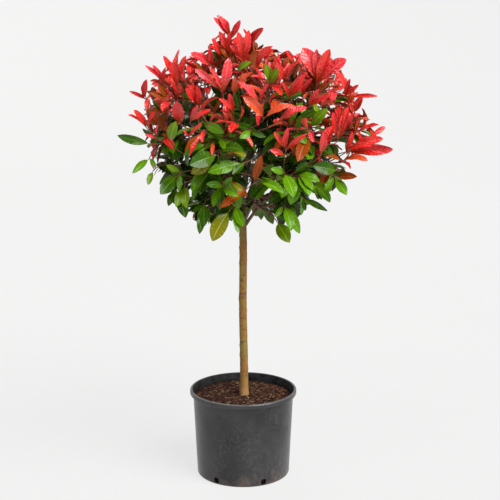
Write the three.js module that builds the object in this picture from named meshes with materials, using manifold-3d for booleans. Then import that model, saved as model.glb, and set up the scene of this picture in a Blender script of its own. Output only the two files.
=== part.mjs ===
// A potted standard photinia: a round nursery pot filled with bark compost, one clear stem and
// a rounded head of leafy shoots that are red at the top and green below.
// Millimetres and degrees, +Z up. The origin is the middle of the pot's underside, and -Y is the front.
import * as THREE from "three";
import { mergeVertices } from "three/addons/utils/BufferGeometryUtils.js";
import Module from "manifold-3d";

const wasm = await Module();
wasm.setup();

const CLEARANCE = 0.3; // between pieces that touch
const GOLDEN_ANGLE = 137.508;

const POT = {
  height: 228,
  rimRadius: 140,
  rimHeight: 12,
  rimWidth: 7,
  rimRound: 3,
  neckRadius: 131.5, // outside of the wall just under the rim
  footRadius: 121.6,
  footRound: 4,
  wall: 2.4,
  floor: 3,
  facets: 36,
};
const DRAIN = { count: 6, width: 14, height: 12, sill: 3.5, firstTurn: -124.5 };
const COMPOST = { level: 210, hollowRadius: 30, swellRadius: 80, swell: 1.5, edgeDrop: 4 };

const TRUNK = {
  top: 765,
  footRadius: 10.6,
  forkRadius: 9.6,
  tipRadius: 6.2,
  forkHeight: 655,
  flare: 2.4,
  flareHeight: 22,
  footX: 1.7,
  topX: -1.4,
  sway: 0.9, // how far the stem wanders from a straight line
  sides: 10,
  steps: 12,
};

// The tiers of the head. Each is a ring of masses round its own middle: ring is the radius of the
// masses' hearts, space the size of each mass, climb the rise of its shoots, turn the first one's azimuth.
const TIERS = {
  skirt: { count: 6, height: 724, middleX: 4, ring: 80, turn: -128, space: 76, climb: -0.15, shoots: 4 },
  lower: { count: 6, height: 810, middleX: 8, ring: 154, turn: -120, space: 88, climb: 0.1, shoots: 4 },
  middle: { count: 6, height: 905, middleX: 18, ring: 204, turn: -110, space: 98, climb: 0.4, shoots: 5 },
  upper: { count: 6, height: 1000, middleX: 18, ring: 162, turn: -80, space: 92, climb: 0.8, shoots: 4 },
  crest: { count: 3, height: 1062, middleX: -8, ring: 38, turn: -75, space: 80, climb: 1.7, shoots: 4 },
  inner: { count: 3, height: 930, middleX: 10, ring: 66, turn: -15, space: 124, climb: 0.9, shoots: 5 },
};
const RED_TIERS = ["middle", "upper", "crest"];
// Masses that stand out of the round head, by so much outwards and upwards.
const ACCENTS = {
  foliage_skirt_2: [14, 0],
  foliage_lower_3: [36, 12],
  foliage_middle_3: [40, -12],
  foliage_middle_6: [14, 0],
  foliage_upper_2: [12, 0],
  foliage_crest_3: [-8, 14],
};

// The limbs. start is the height on the trunk, or the share of the parent's length, where a limb leaves.
const BOUGH = { start: 656, step: 9, baseRadius: 4.4, tipRadius: 2.9, arch: 0.14, sides: 5, steps: 4 };
const LEADER = { start: 718, step: 13, baseRadius: 4.8, tipRadius: 3.0, arch: 0.2, sides: 5, steps: 5 };
const SPUR = { share: 0.42, baseRadius: 3.2, tipRadius: 2.3, arch: 0.1, sides: 5, steps: 3 };
const INNER_START = 716;

// How a mass grows: one stem from its limb, then shoots that each carry a spiral of leaves.
const STEM = { entry: 0.62, radius: 2.3, bend: 0.4, sideBend: 0.14, stepLength: 35 };
const SHOOT = {
  firstShare: 0.1, // of the stem, where the lowest shoot leaves
  lastShare: 0.92,
  spreadAngle: 62,
  reach: 0.78, // of the mass's size, from its heart to a shoot's tip
  baseRadius: 2.3,
  tipRadius: 1.9,
  arch: 0.14,
  steps: 2,
};
const LEAF = {
  perShoot: 5,
  firstShare: 0.34,
  length: 84,
  lengthSpread: 0.16,
  shape: 0.42, // width over length
  widest: 0.55, // share of the length where the blade is widest
  fold: 0.045, // how far the edges rise over the midrib, of the length
  keelAt: 0.28, // share of the length where the midrib is deepest
  keel: 0.032, // how deep it is there, of the length
  sunk: 1.6, // how far the root goes past its twig's axis
  tipAngle: 34, // between a leaf and its shoot, at the shoot's tip and at its foot
  footAngle: 76,
  angleSpread: 12,
  droop: 0.4,
  tipScale: 0.74,
};
// How leaves and twigs find room, in millimetres: a leaf that doesn't fit is turned by turnStep degrees and
// shrunk, up to tries times. The smallest feature that fusing leaves is smallest.
const FIT = {
  wallGap: 0.4,
  limbGap: 1.2,
  spaceShare: 1.75, // how far from its heart a mass may reach, of its size
  tries: 8,
  turnStep: 17,
  shrink: 0.96,
  smallest: 0.1,
};
const SEED = 4021;

const MATERIALS = {
  pot: new THREE.MeshStandardMaterial({ color: 0x3d3d3f, roughness: 0.62, metalness: 0 }),
  compost: new THREE.MeshStandardMaterial({ color: 0x3a211a, roughness: 0.97, metalness: 0 }),
  bark: new THREE.MeshStandardMaterial({ color: 0x85683a, roughness: 0.85, metalness: 0 }),
  twig: new THREE.MeshStandardMaterial({ color: 0x55352a, roughness: 0.7, metalness: 0 }),
  green: new THREE.MeshStandardMaterial({ color: 0x3f7a22, roughness: 0.38, metalness: 0 }),
  red: new THREE.MeshStandardMaterial({ color: 0xc8202c, roughness: 0.36, metalness: 0 }),
};

const UP = new THREE.Vector3(0, 0, 1);
const ACROSS = new THREE.Vector3(1, 0, 0);
const radians = THREE.MathUtils.degToRad;
const mix = THREE.MathUtils.lerp;

// A Park-Miller generator, so that one seed always grows the same plant.
function seededRandom(seed) {
  let state = seed;
  const draw = () => (state = (state * 16807) % 2147483647) / 2147483647;
  for (let warm = 0; warm < 4; warm++) draw();
  return draw;
}

// A closed geometry as a solid that can be joined and cut.
function solidOf(geometry) {
  const bare = geometry.clone();
  bare.deleteAttribute("normal");
  bare.deleteAttribute("uv");
  const merged = mergeVertices(bare, 1e-4);
  const corners = [];
  for (let i = 0; i < merged.index.count; i += 3) {
    const [a, b, c] = [0, 1, 2].map((k) => merged.index.getX(i + k));
    if (a !== b && b !== c && c !== a) corners.push(a, b, c);
  }
  const vertProperties = new Float32Array(merged.attributes.position.array);
  return new wasm.Manifold(new wasm.Mesh({ numProp: 3, vertProperties, triVerts: new Uint32Array(corners) }));
}

// The one connected body that matters: loose scraps go, and a hollow that fusing sealed is filled.
function wholeBody(solid) {
  return solid.decompose().reduce((best, body) => (body.volume() > best.volume() ? body : best));
}

function meshOf(name, solid, material) {
  const made = solid.getMesh();
  const geometry = new THREE.BufferGeometry();
  geometry.setAttribute("position", new THREE.BufferAttribute(made.vertProperties, 3));
  geometry.setIndex(new THREE.BufferAttribute(made.triVerts, 1));
  geometry.computeVertexNormals();
  const mesh = new THREE.Mesh(geometry, material);
  mesh.name = name;
  return mesh;
}

// A round body from its half section, turned about +Z.
function turned(profile, facets) {
  return solidOf(new THREE.LatheGeometry(profile, facets).rotateX(Math.PI / 2));
}

function arcPoints(centreR, centreZ, radius, fromDegrees, toDegrees, count) {
  return Array.from({ length: count + 1 }, (_, i) => {
    const angle = radians(mix(fromDegrees, toDegrees, i / count));
    return new THREE.Vector2(centreR + radius * Math.cos(angle), centreZ + radius * Math.sin(angle));
  });
}

function innerRadius(z) {
  const rise = (z - POT.footRound) / (POT.height - POT.rimHeight - POT.footRound);
  return mix(POT.footRadius, POT.neckRadius, rise) - POT.wall;
}

function makePot() {
  const { height, rimRadius, rimHeight, rimWidth, rimRound, footRadius, footRound, neckRadius, floor } = POT;
  const underRim = height - rimHeight;
  const profile = [
    new THREE.Vector2(0, 0),
    ...arcPoints(footRadius - footRound, footRound, footRound, -90, 0, 2),
    new THREE.Vector2(neckRadius, underRim),
    new THREE.Vector2(rimRadius - rimRound, underRim + 1),
    ...arcPoints(rimRadius - rimRound, height - rimRound, rimRound, 0, 90, 2),
    new THREE.Vector2(rimRadius - rimWidth, height),
    new THREE.Vector2(innerRadius(underRim), underRim),
    new THREE.Vector2(innerRadius(floor), floor),
    new THREE.Vector2(0, floor),
  ];
  let pot = turned(profile, POT.facets);
  for (let i = 0; i < DRAIN.count; i++) {
    const notch = new THREE.BoxGeometry(POT.footRound * 6, DRAIN.width, DRAIN.height)
      .translate(footRadius, 0, DRAIN.sill + DRAIN.height / 2)
      .rotateZ(radians(DRAIN.firstTurn + (i * 360) / DRAIN.count));
    pot = pot.subtract(solidOf(notch));
  }
  return pot;
}

// The compost fills the pot to its level and stands a little off the wall and the floor.
function makeCompost() {
  const { level, hollowRadius, swellRadius, swell, edgeDrop } = COMPOST;
  const bottom = POT.floor + CLEARANCE;
  const edge = level - edgeDrop;
  const profile = [
    new THREE.Vector2(0, bottom),
    new THREE.Vector2(innerRadius(bottom) - CLEARANCE, bottom),
    new THREE.Vector2(innerRadius(edge) - CLEARANCE, edge),
    new THREE.Vector2(swellRadius, level + swell),
    new THREE.Vector2(hollowRadius, level),
    new THREE.Vector2(0, level),
  ];
  return turned(profile, POT.facets);
}

// Bends a unit cylinder along a path: radiusAt gives its radius from the path's start to its end.
function alongPath(pointAt, tangentAt, radiusAt, sides, steps) {
  const geometry = new THREE.CylinderGeometry(1, 1, 1, sides, steps);
  const chord = pointAt(1).clone().sub(pointAt(0)).normalize();
  const guide = Math.abs(chord.z) < 0.9 ? UP : ACROSS;
  const position = geometry.attributes.position;
  for (let i = 0; i < position.count; i++) {
    const t = position.getY(i) + 0.5;
    const tangent = tangentAt(t);
    const side = guide.clone().cross(tangent).normalize();
    const rise = side.clone().cross(tangent);
    const radius = radiusAt(t);
    const point = pointAt(t)
      .clone()
      .addScaledVector(side, position.getX(i) * radius)
      .addScaledVector(rise, position.getZ(i) * radius);
    position.setXYZ(i, point.x, point.y, point.z);
  }
  return solidOf(geometry);
}

// The stem's axis, which wanders a little and stands almost upright.
function trunkPoint(z) {
  const rise = (z - COMPOST.level) / (TRUNK.top - COMPOST.level);
  const x = mix(TRUNK.footX, TRUNK.topX, rise) + TRUNK.sway * Math.sin(rise * 11);
  return new THREE.Vector3(x, TRUNK.sway * Math.sin(rise * 7 + 1), z);
}

function trunkRadius(z) {
  const { footRadius, forkRadius, tipRadius, forkHeight, flare, flareHeight, top } = TRUNK;
  const taper =
    z < forkHeight
      ? mix(footRadius, forkRadius, (z - COMPOST.level) / (forkHeight - COMPOST.level))
      : mix(forkRadius, tipRadius, (z - forkHeight) / (top - forkHeight));
  return taper + flare * Math.exp(-(z - COMPOST.level) / flareHeight);
}

function makeTrunk(extra = 0) {
  const foot = COMPOST.level + CLEARANCE;
  // The steps are closer together at the foot, where the stem flares.
  const heightAt = (t) => mix(foot, TRUNK.top + extra, Math.pow(t, 1.35));
  return alongPath(
    (t) => trunkPoint(heightAt(t)),
    () => UP,
    (t) => trunkRadius(heightAt(t)) + extra,
    TRUNK.sides,
    TRUNK.steps,
  );
}

// A limb is an arched, tapering tube from a point on its parent's axis to its tip.
function limbOf(name, kind, from, to, lift) {
  const length = from.distanceTo(to);
  const crown = from.clone().lerp(to, 0.5).addScaledVector(lift, kind.arch * length);
  const curve = new THREE.QuadraticBezierCurve3(from, crown, to);
  return {
    name,
    kind,
    pointAt: (t) => curve.getPoint(t),
    tangentAt: (t) => curve.getTangent(t),
    radiusAt: (t) => mix(kind.baseRadius, kind.tipRadius, t),
    solid(extra = 0) {
      return alongPath(this.pointAt, this.tangentAt, (t) => this.radiusAt(t) + extra, kind.sides, kind.steps);
    },
  };
}

// The hearts of the masses, tier by tier.
function massesOf(tierName) {
  const tier = TIERS[tierName];
  const random = seededRandom(SEED + tierName.length * 977);
  return Array.from({ length: tier.count }, (_, i) => {
    const azimuth = radians(tier.turn + (i * 360) / tier.count + 10 * (random() - 0.5));
    const ring = tier.ring * (0.94 + 0.12 * random());
    const outward = new THREE.Vector3(Math.cos(azimuth), Math.sin(azimuth), 0);
    const name = `foliage_${tierName}_${i + 1}`;
    const [out, up] = ACCENTS[name] ?? [0, 0];
    const height = tier.height + 20 * (random() - 0.5) + up;
    const heart = new THREE.Vector3(tier.middleX, 0, height).addScaledVector(outward, ring + out);
    const aim = outward.clone().addScaledVector(UP, tier.climb).normalize();
    // The stem enters the mass from the side that faces its limb.
    const entry = heart.clone().addScaledVector(aim, -STEM.entry * tier.space);
    return { name, tier, heart, outward, aim, entry, space: tier.space };
  });
}

// The limbs that carry the masses: boughs to the lower tier with spurs to the skirt and the middle,
// and leaders to the crest with spurs to the upper tier.
function growLimbs(masses) {
  const limbs = [];
  const addSpur = (name, parent, mass, share) => {
    const limb = limbOf(name, SPUR, parent.pointAt(share), mass.entry, UP);
    limb.parent = parent;
    mass.limb = limb;
    limbs.push(limb);
  };
  masses.lower.forEach((mass, i) => {
    const start = trunkPoint(BOUGH.start + ((5 * i + 2) % 6) * BOUGH.step);
    const bough = limbOf(`bough_${i + 1}`, BOUGH, start, mass.entry, UP);
    mass.limb = bough;
    limbs.push(bough);
    addSpur(`bough_${i + 1}_lower_limb`, bough, masses.skirt[i], SPUR.share * 0.7);
    addSpur(`bough_${i + 1}_upper_limb`, bough, masses.middle[i], SPUR.share);
  });
  masses.crest.forEach((mass, i) => {
    const start = trunkPoint(LEADER.start + i * LEADER.step);
    const leader = limbOf(`leader_${i + 1}`, LEADER, start, mass.entry, mass.outward);
    mass.limb = leader;
    limbs.push(leader);
    addSpur(`leader_${i + 1}_left_limb`, leader, masses.upper[(2 * i) % 6], SPUR.share * 0.8);
    addSpur(`leader_${i + 1}_right_limb`, leader, masses.upper[(2 * i + 1) % 6], SPUR.share * 1.2);
  });
  return limbs;
}

// Points along every limb, stem and the trunk, with their radii, that leaves and twigs keep clear of.
function woodSamples(limbs, masses, spacing = 5) {
  const samples = [];
  const add = (path, radiusAt, owner) => {
    const count = Math.ceil(path.pointAt(0).distanceTo(path.pointAt(1)) / spacing);
    for (let i = 0; i <= count; i++) {
      samples.push({ at: path.pointAt(i / count), radius: radiusAt(i / count), owner });
    }
  };
  for (let z = COMPOST.level; z <= TRUNK.top; z += spacing) {
    samples.push({ at: trunkPoint(z), radius: trunkRadius(z) });
  }
  for (const limb of limbs) add(limb, (t) => limb.radiusAt(t));
  for (const mass of masses) add(mass.stem, () => STEM.radius, mass);
  return samples;
}

// A mass's own space: nearer to its heart than to any other's, less a small gap at the walls between.
function inOwnSpace(point, mass, all, gap = FIT.wallGap) {
  const own = point.distanceToSquared(mass.heart) - mass.space ** 2;
  if (own > (FIT.spaceShare ** 2 - 1) * mass.space ** 2) return false;
  return all.every((other) => {
    if (other === mass) return true;
    const wall = point.distanceToSquared(other.heart) - other.space ** 2 - own;
    return wall / (2 * mass.heart.distanceTo(other.heart)) > gap;
  });
}

// A leaf's own axes run along its midrib, out of its face and across the blade. It is a double pyramid
// with its edges for apexes: they rise a little over the midrib, which is deepest near the sunken root.
function leafOf(root, along, face, length) {
  const across = face.clone().cross(along).normalize();
  const at = (forward, sideways, up) =>
    root.clone().addScaledVector(along, forward).addScaledVector(across, sideways).addScaledVector(face, up);
  const half = (length * LEAF.shape) / 2;
  const widest = length * LEAF.widest;
  const corners = {
    left: at(widest, half, length * LEAF.fold),
    right: at(widest, -half, length * LEAF.fold),
    root: at(-LEAF.sunk, 0, 0),
    keel: at(length * LEAF.keelAt, 0, -length * LEAF.keel),
    tip: at(length, 0, 0),
  };
  const { left, right, tip } = corners;
  const blade = at(length * 0.06, 0, 0);
  const edges = [[blade, left], [left, tip], [tip, right], [right, blade], [blade, tip]];
  const faces = [[blade, left, tip], [blade, tip, right]];
  return { root, along, face, across, length, half, centre: at(widest, 0, 0), corners, edges, faces };
}

function leafSolid({ corners }) {
  const { left, right, root, keel, tip } = corners;
  const section = [new THREE.Vector2(0, -1), new THREE.Vector2(1, 0), new THREE.Vector2(0, 1)];
  const geometry = new THREE.LatheGeometry(section, 3);
  const position = geometry.attributes.position;
  for (let i = 0; i < position.count; i++) {
    const height = position.getY(i);
    const third = Math.round((3 * Math.atan2(position.getX(i), position.getZ(i))) / (2 * Math.PI) + 3) % 3;
    const ring = [root, tip, keel][third];
    const corner = height > 0.5 ? left : height < -0.5 ? right : ring;
    position.setXYZ(i, ...corner.toArray());
  }
  return solidOf(geometry);
}

// Whether a limb runs through the blade, read in the leaf's own axes.
function woodInLeaf(leaf, mass, samples) {
  return samples.some(({ at, radius, owner }) => {
    if (owner === mass) return false;
    const pad = radius + FIT.limbGap;
    const offset = at.clone().sub(leaf.root);
    const along = offset.dot(leaf.along);
    if (along < -pad || along > leaf.length + pad) return false;
    const share = along / leaf.length;
    const full = share < LEAF.widest ? share / LEAF.widest : (1 - share) / (1 - LEAF.widest);
    const half = Math.max(0, full) * leaf.half + 2.5;
    const height = offset.dot(leaf.face);
    return Math.abs(offset.dot(leaf.across)) < half + pad && height < pad + 4 && height > -pad - 2;
  });
}

// Whether one of the edges runs through one of the faces.
function runsThrough(edges, faces) {
  const ray = new THREE.Ray();
  const hit = new THREE.Vector3();
  return edges.some(([from, to]) => {
    ray.origin.copy(from);
    ray.direction.subVectors(to, from).normalize();
    return faces.some(
      ([a, b, c]) => ray.intersectTriangle(a, b, c, false, hit) && hit.distanceTo(from) < from.distanceTo(to),
    );
  });
}

function leafFits(leaf, mass, all, samples, placed, twigs) {
  return (
    Object.values(leaf.corners).every((corner) => inOwnSpace(corner, mass, all)) &&
    !woodInLeaf(leaf, mass, samples) &&
    !runsThrough(twigs, leaf.faces) &&
    !placed.some((other) => {
      if (other.centre.distanceTo(leaf.centre) > leaf.length + other.length) return false;
      return runsThrough(other.edges, leaf.faces) || runsThrough(leaf.edges, other.faces);
    })
  );
}

// The straight pieces of a twig that leaves may not cross, less its own first part.
function piecesOf(path, from = 0, count = 4) {
  return Array.from({ length: count }, (_, i) => [
    path.pointAt(mix(from, 1, i / count)),
    path.pointAt(mix(from, 1, (i + 1) / count)),
  ]);
}

// The spiral of leaves on one shoot: upright and small at its tip, wide and drooping at its foot.
function leavesOf(shoot, mass, all, samples, placed, twigs, random) {
  const leaves = [];
  const phase = random() * 360;
  for (let i = 0; i < LEAF.perShoot; i++) {
    const age = 1 - i / (LEAF.perShoot - 1);
    const share = mix(1, LEAF.firstShare, age);
    const [turnDraw, angleDraw, sizeDraw] = [random(), random(), random()];
    const tangent = shoot.tangentAt(share);
    const side = UP.clone().cross(tangent);
    if (side.length() < 0.2) side.copy(ACROSS).cross(tangent);
    side.normalize();
    const rise = tangent.clone().cross(side);
    const root = shoot.pointAt(share).addScaledVector(tangent, -LEAF.sunk);
    const spread = 1 + LEAF.lengthSpread * (sizeDraw * 2 - 1);
    const scale = mix(LEAF.tipScale, 1, Math.min(1, age * 2.2)) * spread;
    for (let attempt = 0; attempt < FIT.tries; attempt++) {
      const away = attempt % 2 ? attempt : -attempt;
      const turn = radians(phase + i * GOLDEN_ANGLE + 24 * (turnDraw - 0.5) + away * FIT.turnStep);
      const open = radians(mix(LEAF.tipAngle, LEAF.footAngle, age) + LEAF.angleSpread * (angleDraw * 2 - 1));
      const out = side.clone().multiplyScalar(Math.cos(turn)).addScaledVector(rise, Math.sin(turn));
      const along = tangent.clone().multiplyScalar(Math.cos(open)).addScaledVector(out, Math.sin(open));
      along.addScaledVector(UP, -LEAF.droop * age).normalize();
      const face = tangent.clone().lerp(UP, 0.35 + 0.4 * age);
      face.addScaledVector(along, -face.dot(along)).normalize();
      const length = LEAF.length * scale * Math.pow(FIT.shrink, attempt);
      const leaf = leafOf(root, along, face, length);
      if (!leafFits(leaf, mass, all, samples, [...placed, ...leaves], twigs)) continue;
      leaves.push(leaf);
      break;
    }
  }
  return leaves;
}

// A twig bends at a few joints, so that what grows from it sits on its own axis.
function bentPath(from, handle, to, steps) {
  const curve = new THREE.QuadraticBezierCurve3(from, handle, to);
  const joints = curve.getPoints(steps);
  const pointAt = (t) => {
    const joint = Math.min(steps - 1, Math.floor(t * steps));
    return joints[joint].clone().lerp(joints[joint + 1], t * steps - joint);
  };
  return { pointAt, tangentAt: (t) => curve.getTangent(t), steps };
}

// The stem of a mass carries on from its limb's tip, or leaves the trunk's side, and ends in the heart.
function stemOf(mass, index) {
  const { heart, limb } = mass;
  let way;
  let start;
  if (limb) {
    way = limb.tangentAt(1);
    start = limb.pointAt(1).addScaledVector(way, CLEARANCE);
  } else {
    const height = INNER_START + 12 * index;
    way = new THREE.Vector3(heart.x, heart.y, 0).normalize();
    start = trunkPoint(height).addScaledVector(way, trunkRadius(height) + CLEARANCE);
  }
  const bend = limb ? STEM.bend : STEM.sideBend;
  const handle = start.clone().addScaledVector(way, bend * start.distanceTo(heart));
  return bentPath(start, handle, heart, Math.ceil(start.distanceTo(heart) / STEM.stepLength));
}

function twigFits(path, mass, all, samples) {
  return [0.25, 0.5, 0.75, 1].every((t) => {
    const point = path.pointAt(t);
    if (!inOwnSpace(point, mass, all, SHOOT.baseRadius + FIT.wallGap)) return false;
    const near = SHOOT.baseRadius + FIT.limbGap;
    return samples.every(({ at, radius, owner }) => owner === mass || at.distanceTo(point) > radius + near);
  });
}

// One mass: its shoots leave the stem in a spiral, and each carries a spiral of leaves.
function growMass(mass, index, all, samples) {
  const random = seededRandom(SEED + index * 7919);
  const { tier, heart, aim, space, stem } = mass;
  const side = UP.clone().cross(aim).normalize();
  const rise = aim.clone().cross(side);
  const tipOf = (angle, turn, reach) => {
    const out = side.clone().multiplyScalar(Math.cos(turn)).addScaledVector(rise, Math.sin(turn));
    const way = aim.clone().multiplyScalar(Math.cos(angle)).addScaledVector(out, Math.sin(angle));
    return heart.clone().addScaledVector(way, reach * space);
  };
  const solids = [alongPath(stem.pointAt, stem.tangentAt, () => STEM.radius, 3, stem.steps)];
  const placed = [];
  const shoots = [];
  const phase = random() * 360;
  for (let i = 0; i < tier.shoots; i++) {
    const last = i === tier.shoots - 1;
    const share = last ? SHOOT.lastShare : mix(SHOOT.firstShare, SHOOT.lastShare, i / (tier.shoots - 1));
    const [angleDraw, turnDraw, reachDraw] = [random(), random(), random()];
    const angle = last ? radians(10 * angleDraw) : radians(SHOOT.spreadAngle * (0.85 + 0.3 * angleDraw));
    const turn = radians(phase + i * GOLDEN_ANGLE + 20 * (turnDraw - 0.5));
    const reach = SHOOT.reach * (0.88 + 0.24 * reachDraw);
    const [foot, tip] = [stem.pointAt(share), tipOf(angle, turn, reach)];
    const handle = foot.clone().lerp(tip, 0.5).addScaledVector(aim, SHOOT.arch * foot.distanceTo(tip));
    const path = bentPath(foot, handle, tip, SHOOT.steps);
    if (!twigFits(path, mass, all, samples)) continue;
    const radiusAt = (t) => mix(SHOOT.baseRadius, SHOOT.tipRadius, t);
    solids.push(alongPath(path.pointAt, path.tangentAt, radiusAt, 3, SHOOT.steps));
    shoots.push(path);
  }
  // The leaves come last, so that they can turn away from every twig.
  const twigs = [stem, ...shoots].flatMap((path) => piecesOf(path));
  for (const path of shoots) {
    const leaves = leavesOf(path, mass, all, samples, placed, twigs, random);
    placed.push(...leaves);
    solids.push(...leaves.map(leafSolid));
  }
  return wholeBody(wasm.Manifold.union(solids)).asOriginal().simplify(FIT.smallest);
}

const plant = new THREE.Group();
plant.add(meshOf("pot", makePot(), MATERIALS.pot));
plant.add(meshOf("compost", makeCompost(), MATERIALS.compost));
plant.add(meshOf("trunk", makeTrunk(), MATERIALS.bark));

const masses = Object.fromEntries(Object.keys(TIERS).map((name) => [name, massesOf(name)]));
const limbs = growLimbs(masses);
const trunkSpace = makeTrunk(CLEARANCE);
for (const limb of limbs) {
  const parent = limb.parent ? limb.parent.solid(CLEARANCE) : trunkSpace;
  plant.add(meshOf(limb.name, wholeBody(limb.solid().subtract(parent)), MATERIALS.twig));
}

const allMasses = Object.values(masses).flat();
allMasses.forEach((mass) => (mass.stem = stemOf(mass, masses.inner.indexOf(mass))));
const samples = woodSamples(limbs, allMasses);
allMasses.forEach((mass, index) => {
  const material = RED_TIERS.some((name) => masses[name].includes(mass)) ? MATERIALS.red : MATERIALS.green;
  plant.add(meshOf(mass.name, growMass(mass, index, allMasses, samples), material));
});

export default plant;
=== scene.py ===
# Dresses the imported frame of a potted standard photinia: bark, twigs, leaves, pot and compost.
import math
from types import SimpleNamespace

import bpy
import numpy as np
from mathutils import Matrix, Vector, noise


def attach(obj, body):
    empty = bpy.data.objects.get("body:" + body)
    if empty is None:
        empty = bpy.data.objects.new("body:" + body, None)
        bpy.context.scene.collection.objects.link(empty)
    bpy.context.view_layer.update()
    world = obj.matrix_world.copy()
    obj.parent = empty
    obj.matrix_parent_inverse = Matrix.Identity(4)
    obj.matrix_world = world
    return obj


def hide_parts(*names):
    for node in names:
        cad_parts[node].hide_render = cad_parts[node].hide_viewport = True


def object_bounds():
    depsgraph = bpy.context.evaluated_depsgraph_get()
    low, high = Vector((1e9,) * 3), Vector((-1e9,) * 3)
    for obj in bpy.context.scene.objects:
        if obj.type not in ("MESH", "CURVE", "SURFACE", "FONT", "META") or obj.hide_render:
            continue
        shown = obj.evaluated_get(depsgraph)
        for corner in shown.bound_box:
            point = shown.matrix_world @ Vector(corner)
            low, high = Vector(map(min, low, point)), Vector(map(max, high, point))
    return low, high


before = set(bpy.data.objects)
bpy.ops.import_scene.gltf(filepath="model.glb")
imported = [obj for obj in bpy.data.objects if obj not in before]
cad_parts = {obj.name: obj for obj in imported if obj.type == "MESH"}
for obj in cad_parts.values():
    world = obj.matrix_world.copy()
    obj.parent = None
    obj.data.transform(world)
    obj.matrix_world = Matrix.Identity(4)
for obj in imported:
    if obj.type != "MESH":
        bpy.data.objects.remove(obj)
cadBox = [list(corner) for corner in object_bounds()]
print("frame loaded:", len(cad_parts), "nodes")

# The plant is grown in millimetres, as its source is, and meshes are scaled when they are made.
mm = 0.001
up = np.array((0.0, 0.0, 1.0))
eastward = np.array((1.0, 0.0, 0.0))
goldenAngle = 137.508
seed = 4021
# what each part of the plant adds to the seed, so that its draws are its own
seedSteps = dict(tier=977, mass=7919, finer=131, shown=41, inside=977, spray=37, firstSpray=11, trunk=5)


def seededRandom(start):
    # the same draws as in the source
    factor, limit = 16807, 2147483647
    state = start

    def draw():
        nonlocal state
        state = state * factor % limit
        return state / limit

    for _ in range(4):
        draw()
    return draw


def mix(a, b, t):
    return (1 - t) * a + t * b


def between(limits, draw):
    return mix(limits[0], limits[1], draw())


def unit(v):
    return v / math.sqrt(v @ v)


def cross(a, b):
    return np.array((a[1] * b[2] - a[2] * b[1], a[2] * b[0] - a[0] * b[2], a[0] * b[1] - a[1] * b[0]))


def swing(first, second, angle):
    # the first direction, turned towards the second
    return first * math.cos(angle) + second * math.sin(angle)


def squareTo(v, axis):
    # v without what it has of the axis
    return unit(v - axis * (v @ axis))


def anglesOf(sides):
    return np.arange(sides) * 2 * math.pi / sides


# Meshes of many small parts
class Pile:
    # gathers quads until they become one joined piece
    def __init__(self):
        self.points, self.quads, self.slots, self.uvs = [], [], [], []
        self.count = 0

    def add(self, points, quads, slots, uvs=None):
        points = np.asarray(points, float).reshape(-1, 3)
        quads = np.asarray(quads, int).reshape(-1, 4)
        self.points.append(points)
        self.quads.append(quads + self.count)
        self.slots.append(np.broadcast_to(slots, len(quads)))
        self.uvs.append(np.zeros((len(points), 2)) if uvs is None else np.asarray(uvs).reshape(-1, 2))
        self.count += len(points)

    def piece(self, name, materials, slot, nodes=(), smooth=True):
        points = np.concatenate(self.points) * mm
        quads = np.concatenate(self.quads)
        uvs = np.concatenate(self.uvs)
        mesh = bpy.data.meshes.new(name)
        mesh.vertices.add(len(points))
        mesh.vertices.foreach_set("co", points.astype(np.float32).ravel())
        mesh.loops.add(quads.size)
        mesh.loops.foreach_set("vertex_index", quads.astype(np.int32).ravel())
        mesh.polygons.add(len(quads))
        mesh.polygons.foreach_set("loop_start", np.arange(0, quads.size, 4, dtype=np.int32))
        mesh.polygons.foreach_set("material_index", np.concatenate(self.slots).astype(np.int32))
        mesh.polygons.foreach_set("use_smooth", np.full(len(quads), smooth))
        layer = mesh.uv_layers.new(name="bladeUv")
        layer.data.foreach_set("uv", uvs[quads.ravel()].astype(np.float32).ravel())
        for material in materials:
            mesh.materials.append(material)
        mesh.update()
        mesh.validate()
        made = bpy.data.objects.new(name, mesh)
        bpy.context.scene.collection.objects.link(made)
        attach(made, "root")
        if nodes:
            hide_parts(*nodes)
        print(f"  {name}: {len(quads) * 2} triangles")
        return made


def gridQuads(rows, columns, closed=False, flip=False):
    # quads of a grid of rows x columns points; closed joins the last column to the first
    across = columns if closed else columns - 1
    row, column = np.meshgrid(np.arange(rows - 1), np.arange(across), indexing="ij")
    beside = (column + 1) % columns
    quads = np.stack((row * columns + column, (row + 1) * columns + column,
                      (row + 1) * columns + beside, row * columns + beside), -1).reshape(-1, 4)
    return quads[:, ::-1] if flip else quads


def sweptFrame(points):
    # side and rise at each point of a path, with no sudden turns
    tangents = np.gradient(points, axis=0)
    tangents /= np.linalg.norm(tangents, axis=1)[:, None]
    side = cross(up if abs(tangents[0] @ up) < 0.9 else eastward, tangents[0])
    sides = []
    for tangent in tangents:
        side = squareTo(side, tangent)
        sides.append(side)
    sides = np.array(sides)
    return sides, np.cross(tangents, sides)


def addTube(pile, points, radii, sides, slot=0, relief=0.0):
    # one radius for each ring; relief, an array of rings by sides, is added to them
    points = np.asarray(points, float)
    side, rise = sweptFrame(points)
    angle = anglesOf(sides)
    radius = np.repeat(np.asarray(radii, float)[:, None], sides, 1) + relief
    ring = side[:, None] * np.cos(angle)[None, :, None] + rise[:, None] * np.sin(angle)[None, :, None]
    rings = points[:, None] + ring * radius[:, :, None]
    count = len(points)
    uvs = np.stack(np.meshgrid(np.linspace(0, 1, count), angle / (2 * math.pi), indexing="ij"), -1)
    # each end is closed by a ring drawn in to the axis
    first, last = (points[end] + (rings[end] - points[end]) * 0.02 for end in (0, -1))
    rings = np.concatenate((first[None], rings, last[None]))
    uvs = np.concatenate((uvs[:1], uvs, uvs[-1:]))
    pile.add(rings, gridQuads(count + 2, sides, closed=True, flip=True), slot, uvs)


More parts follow.
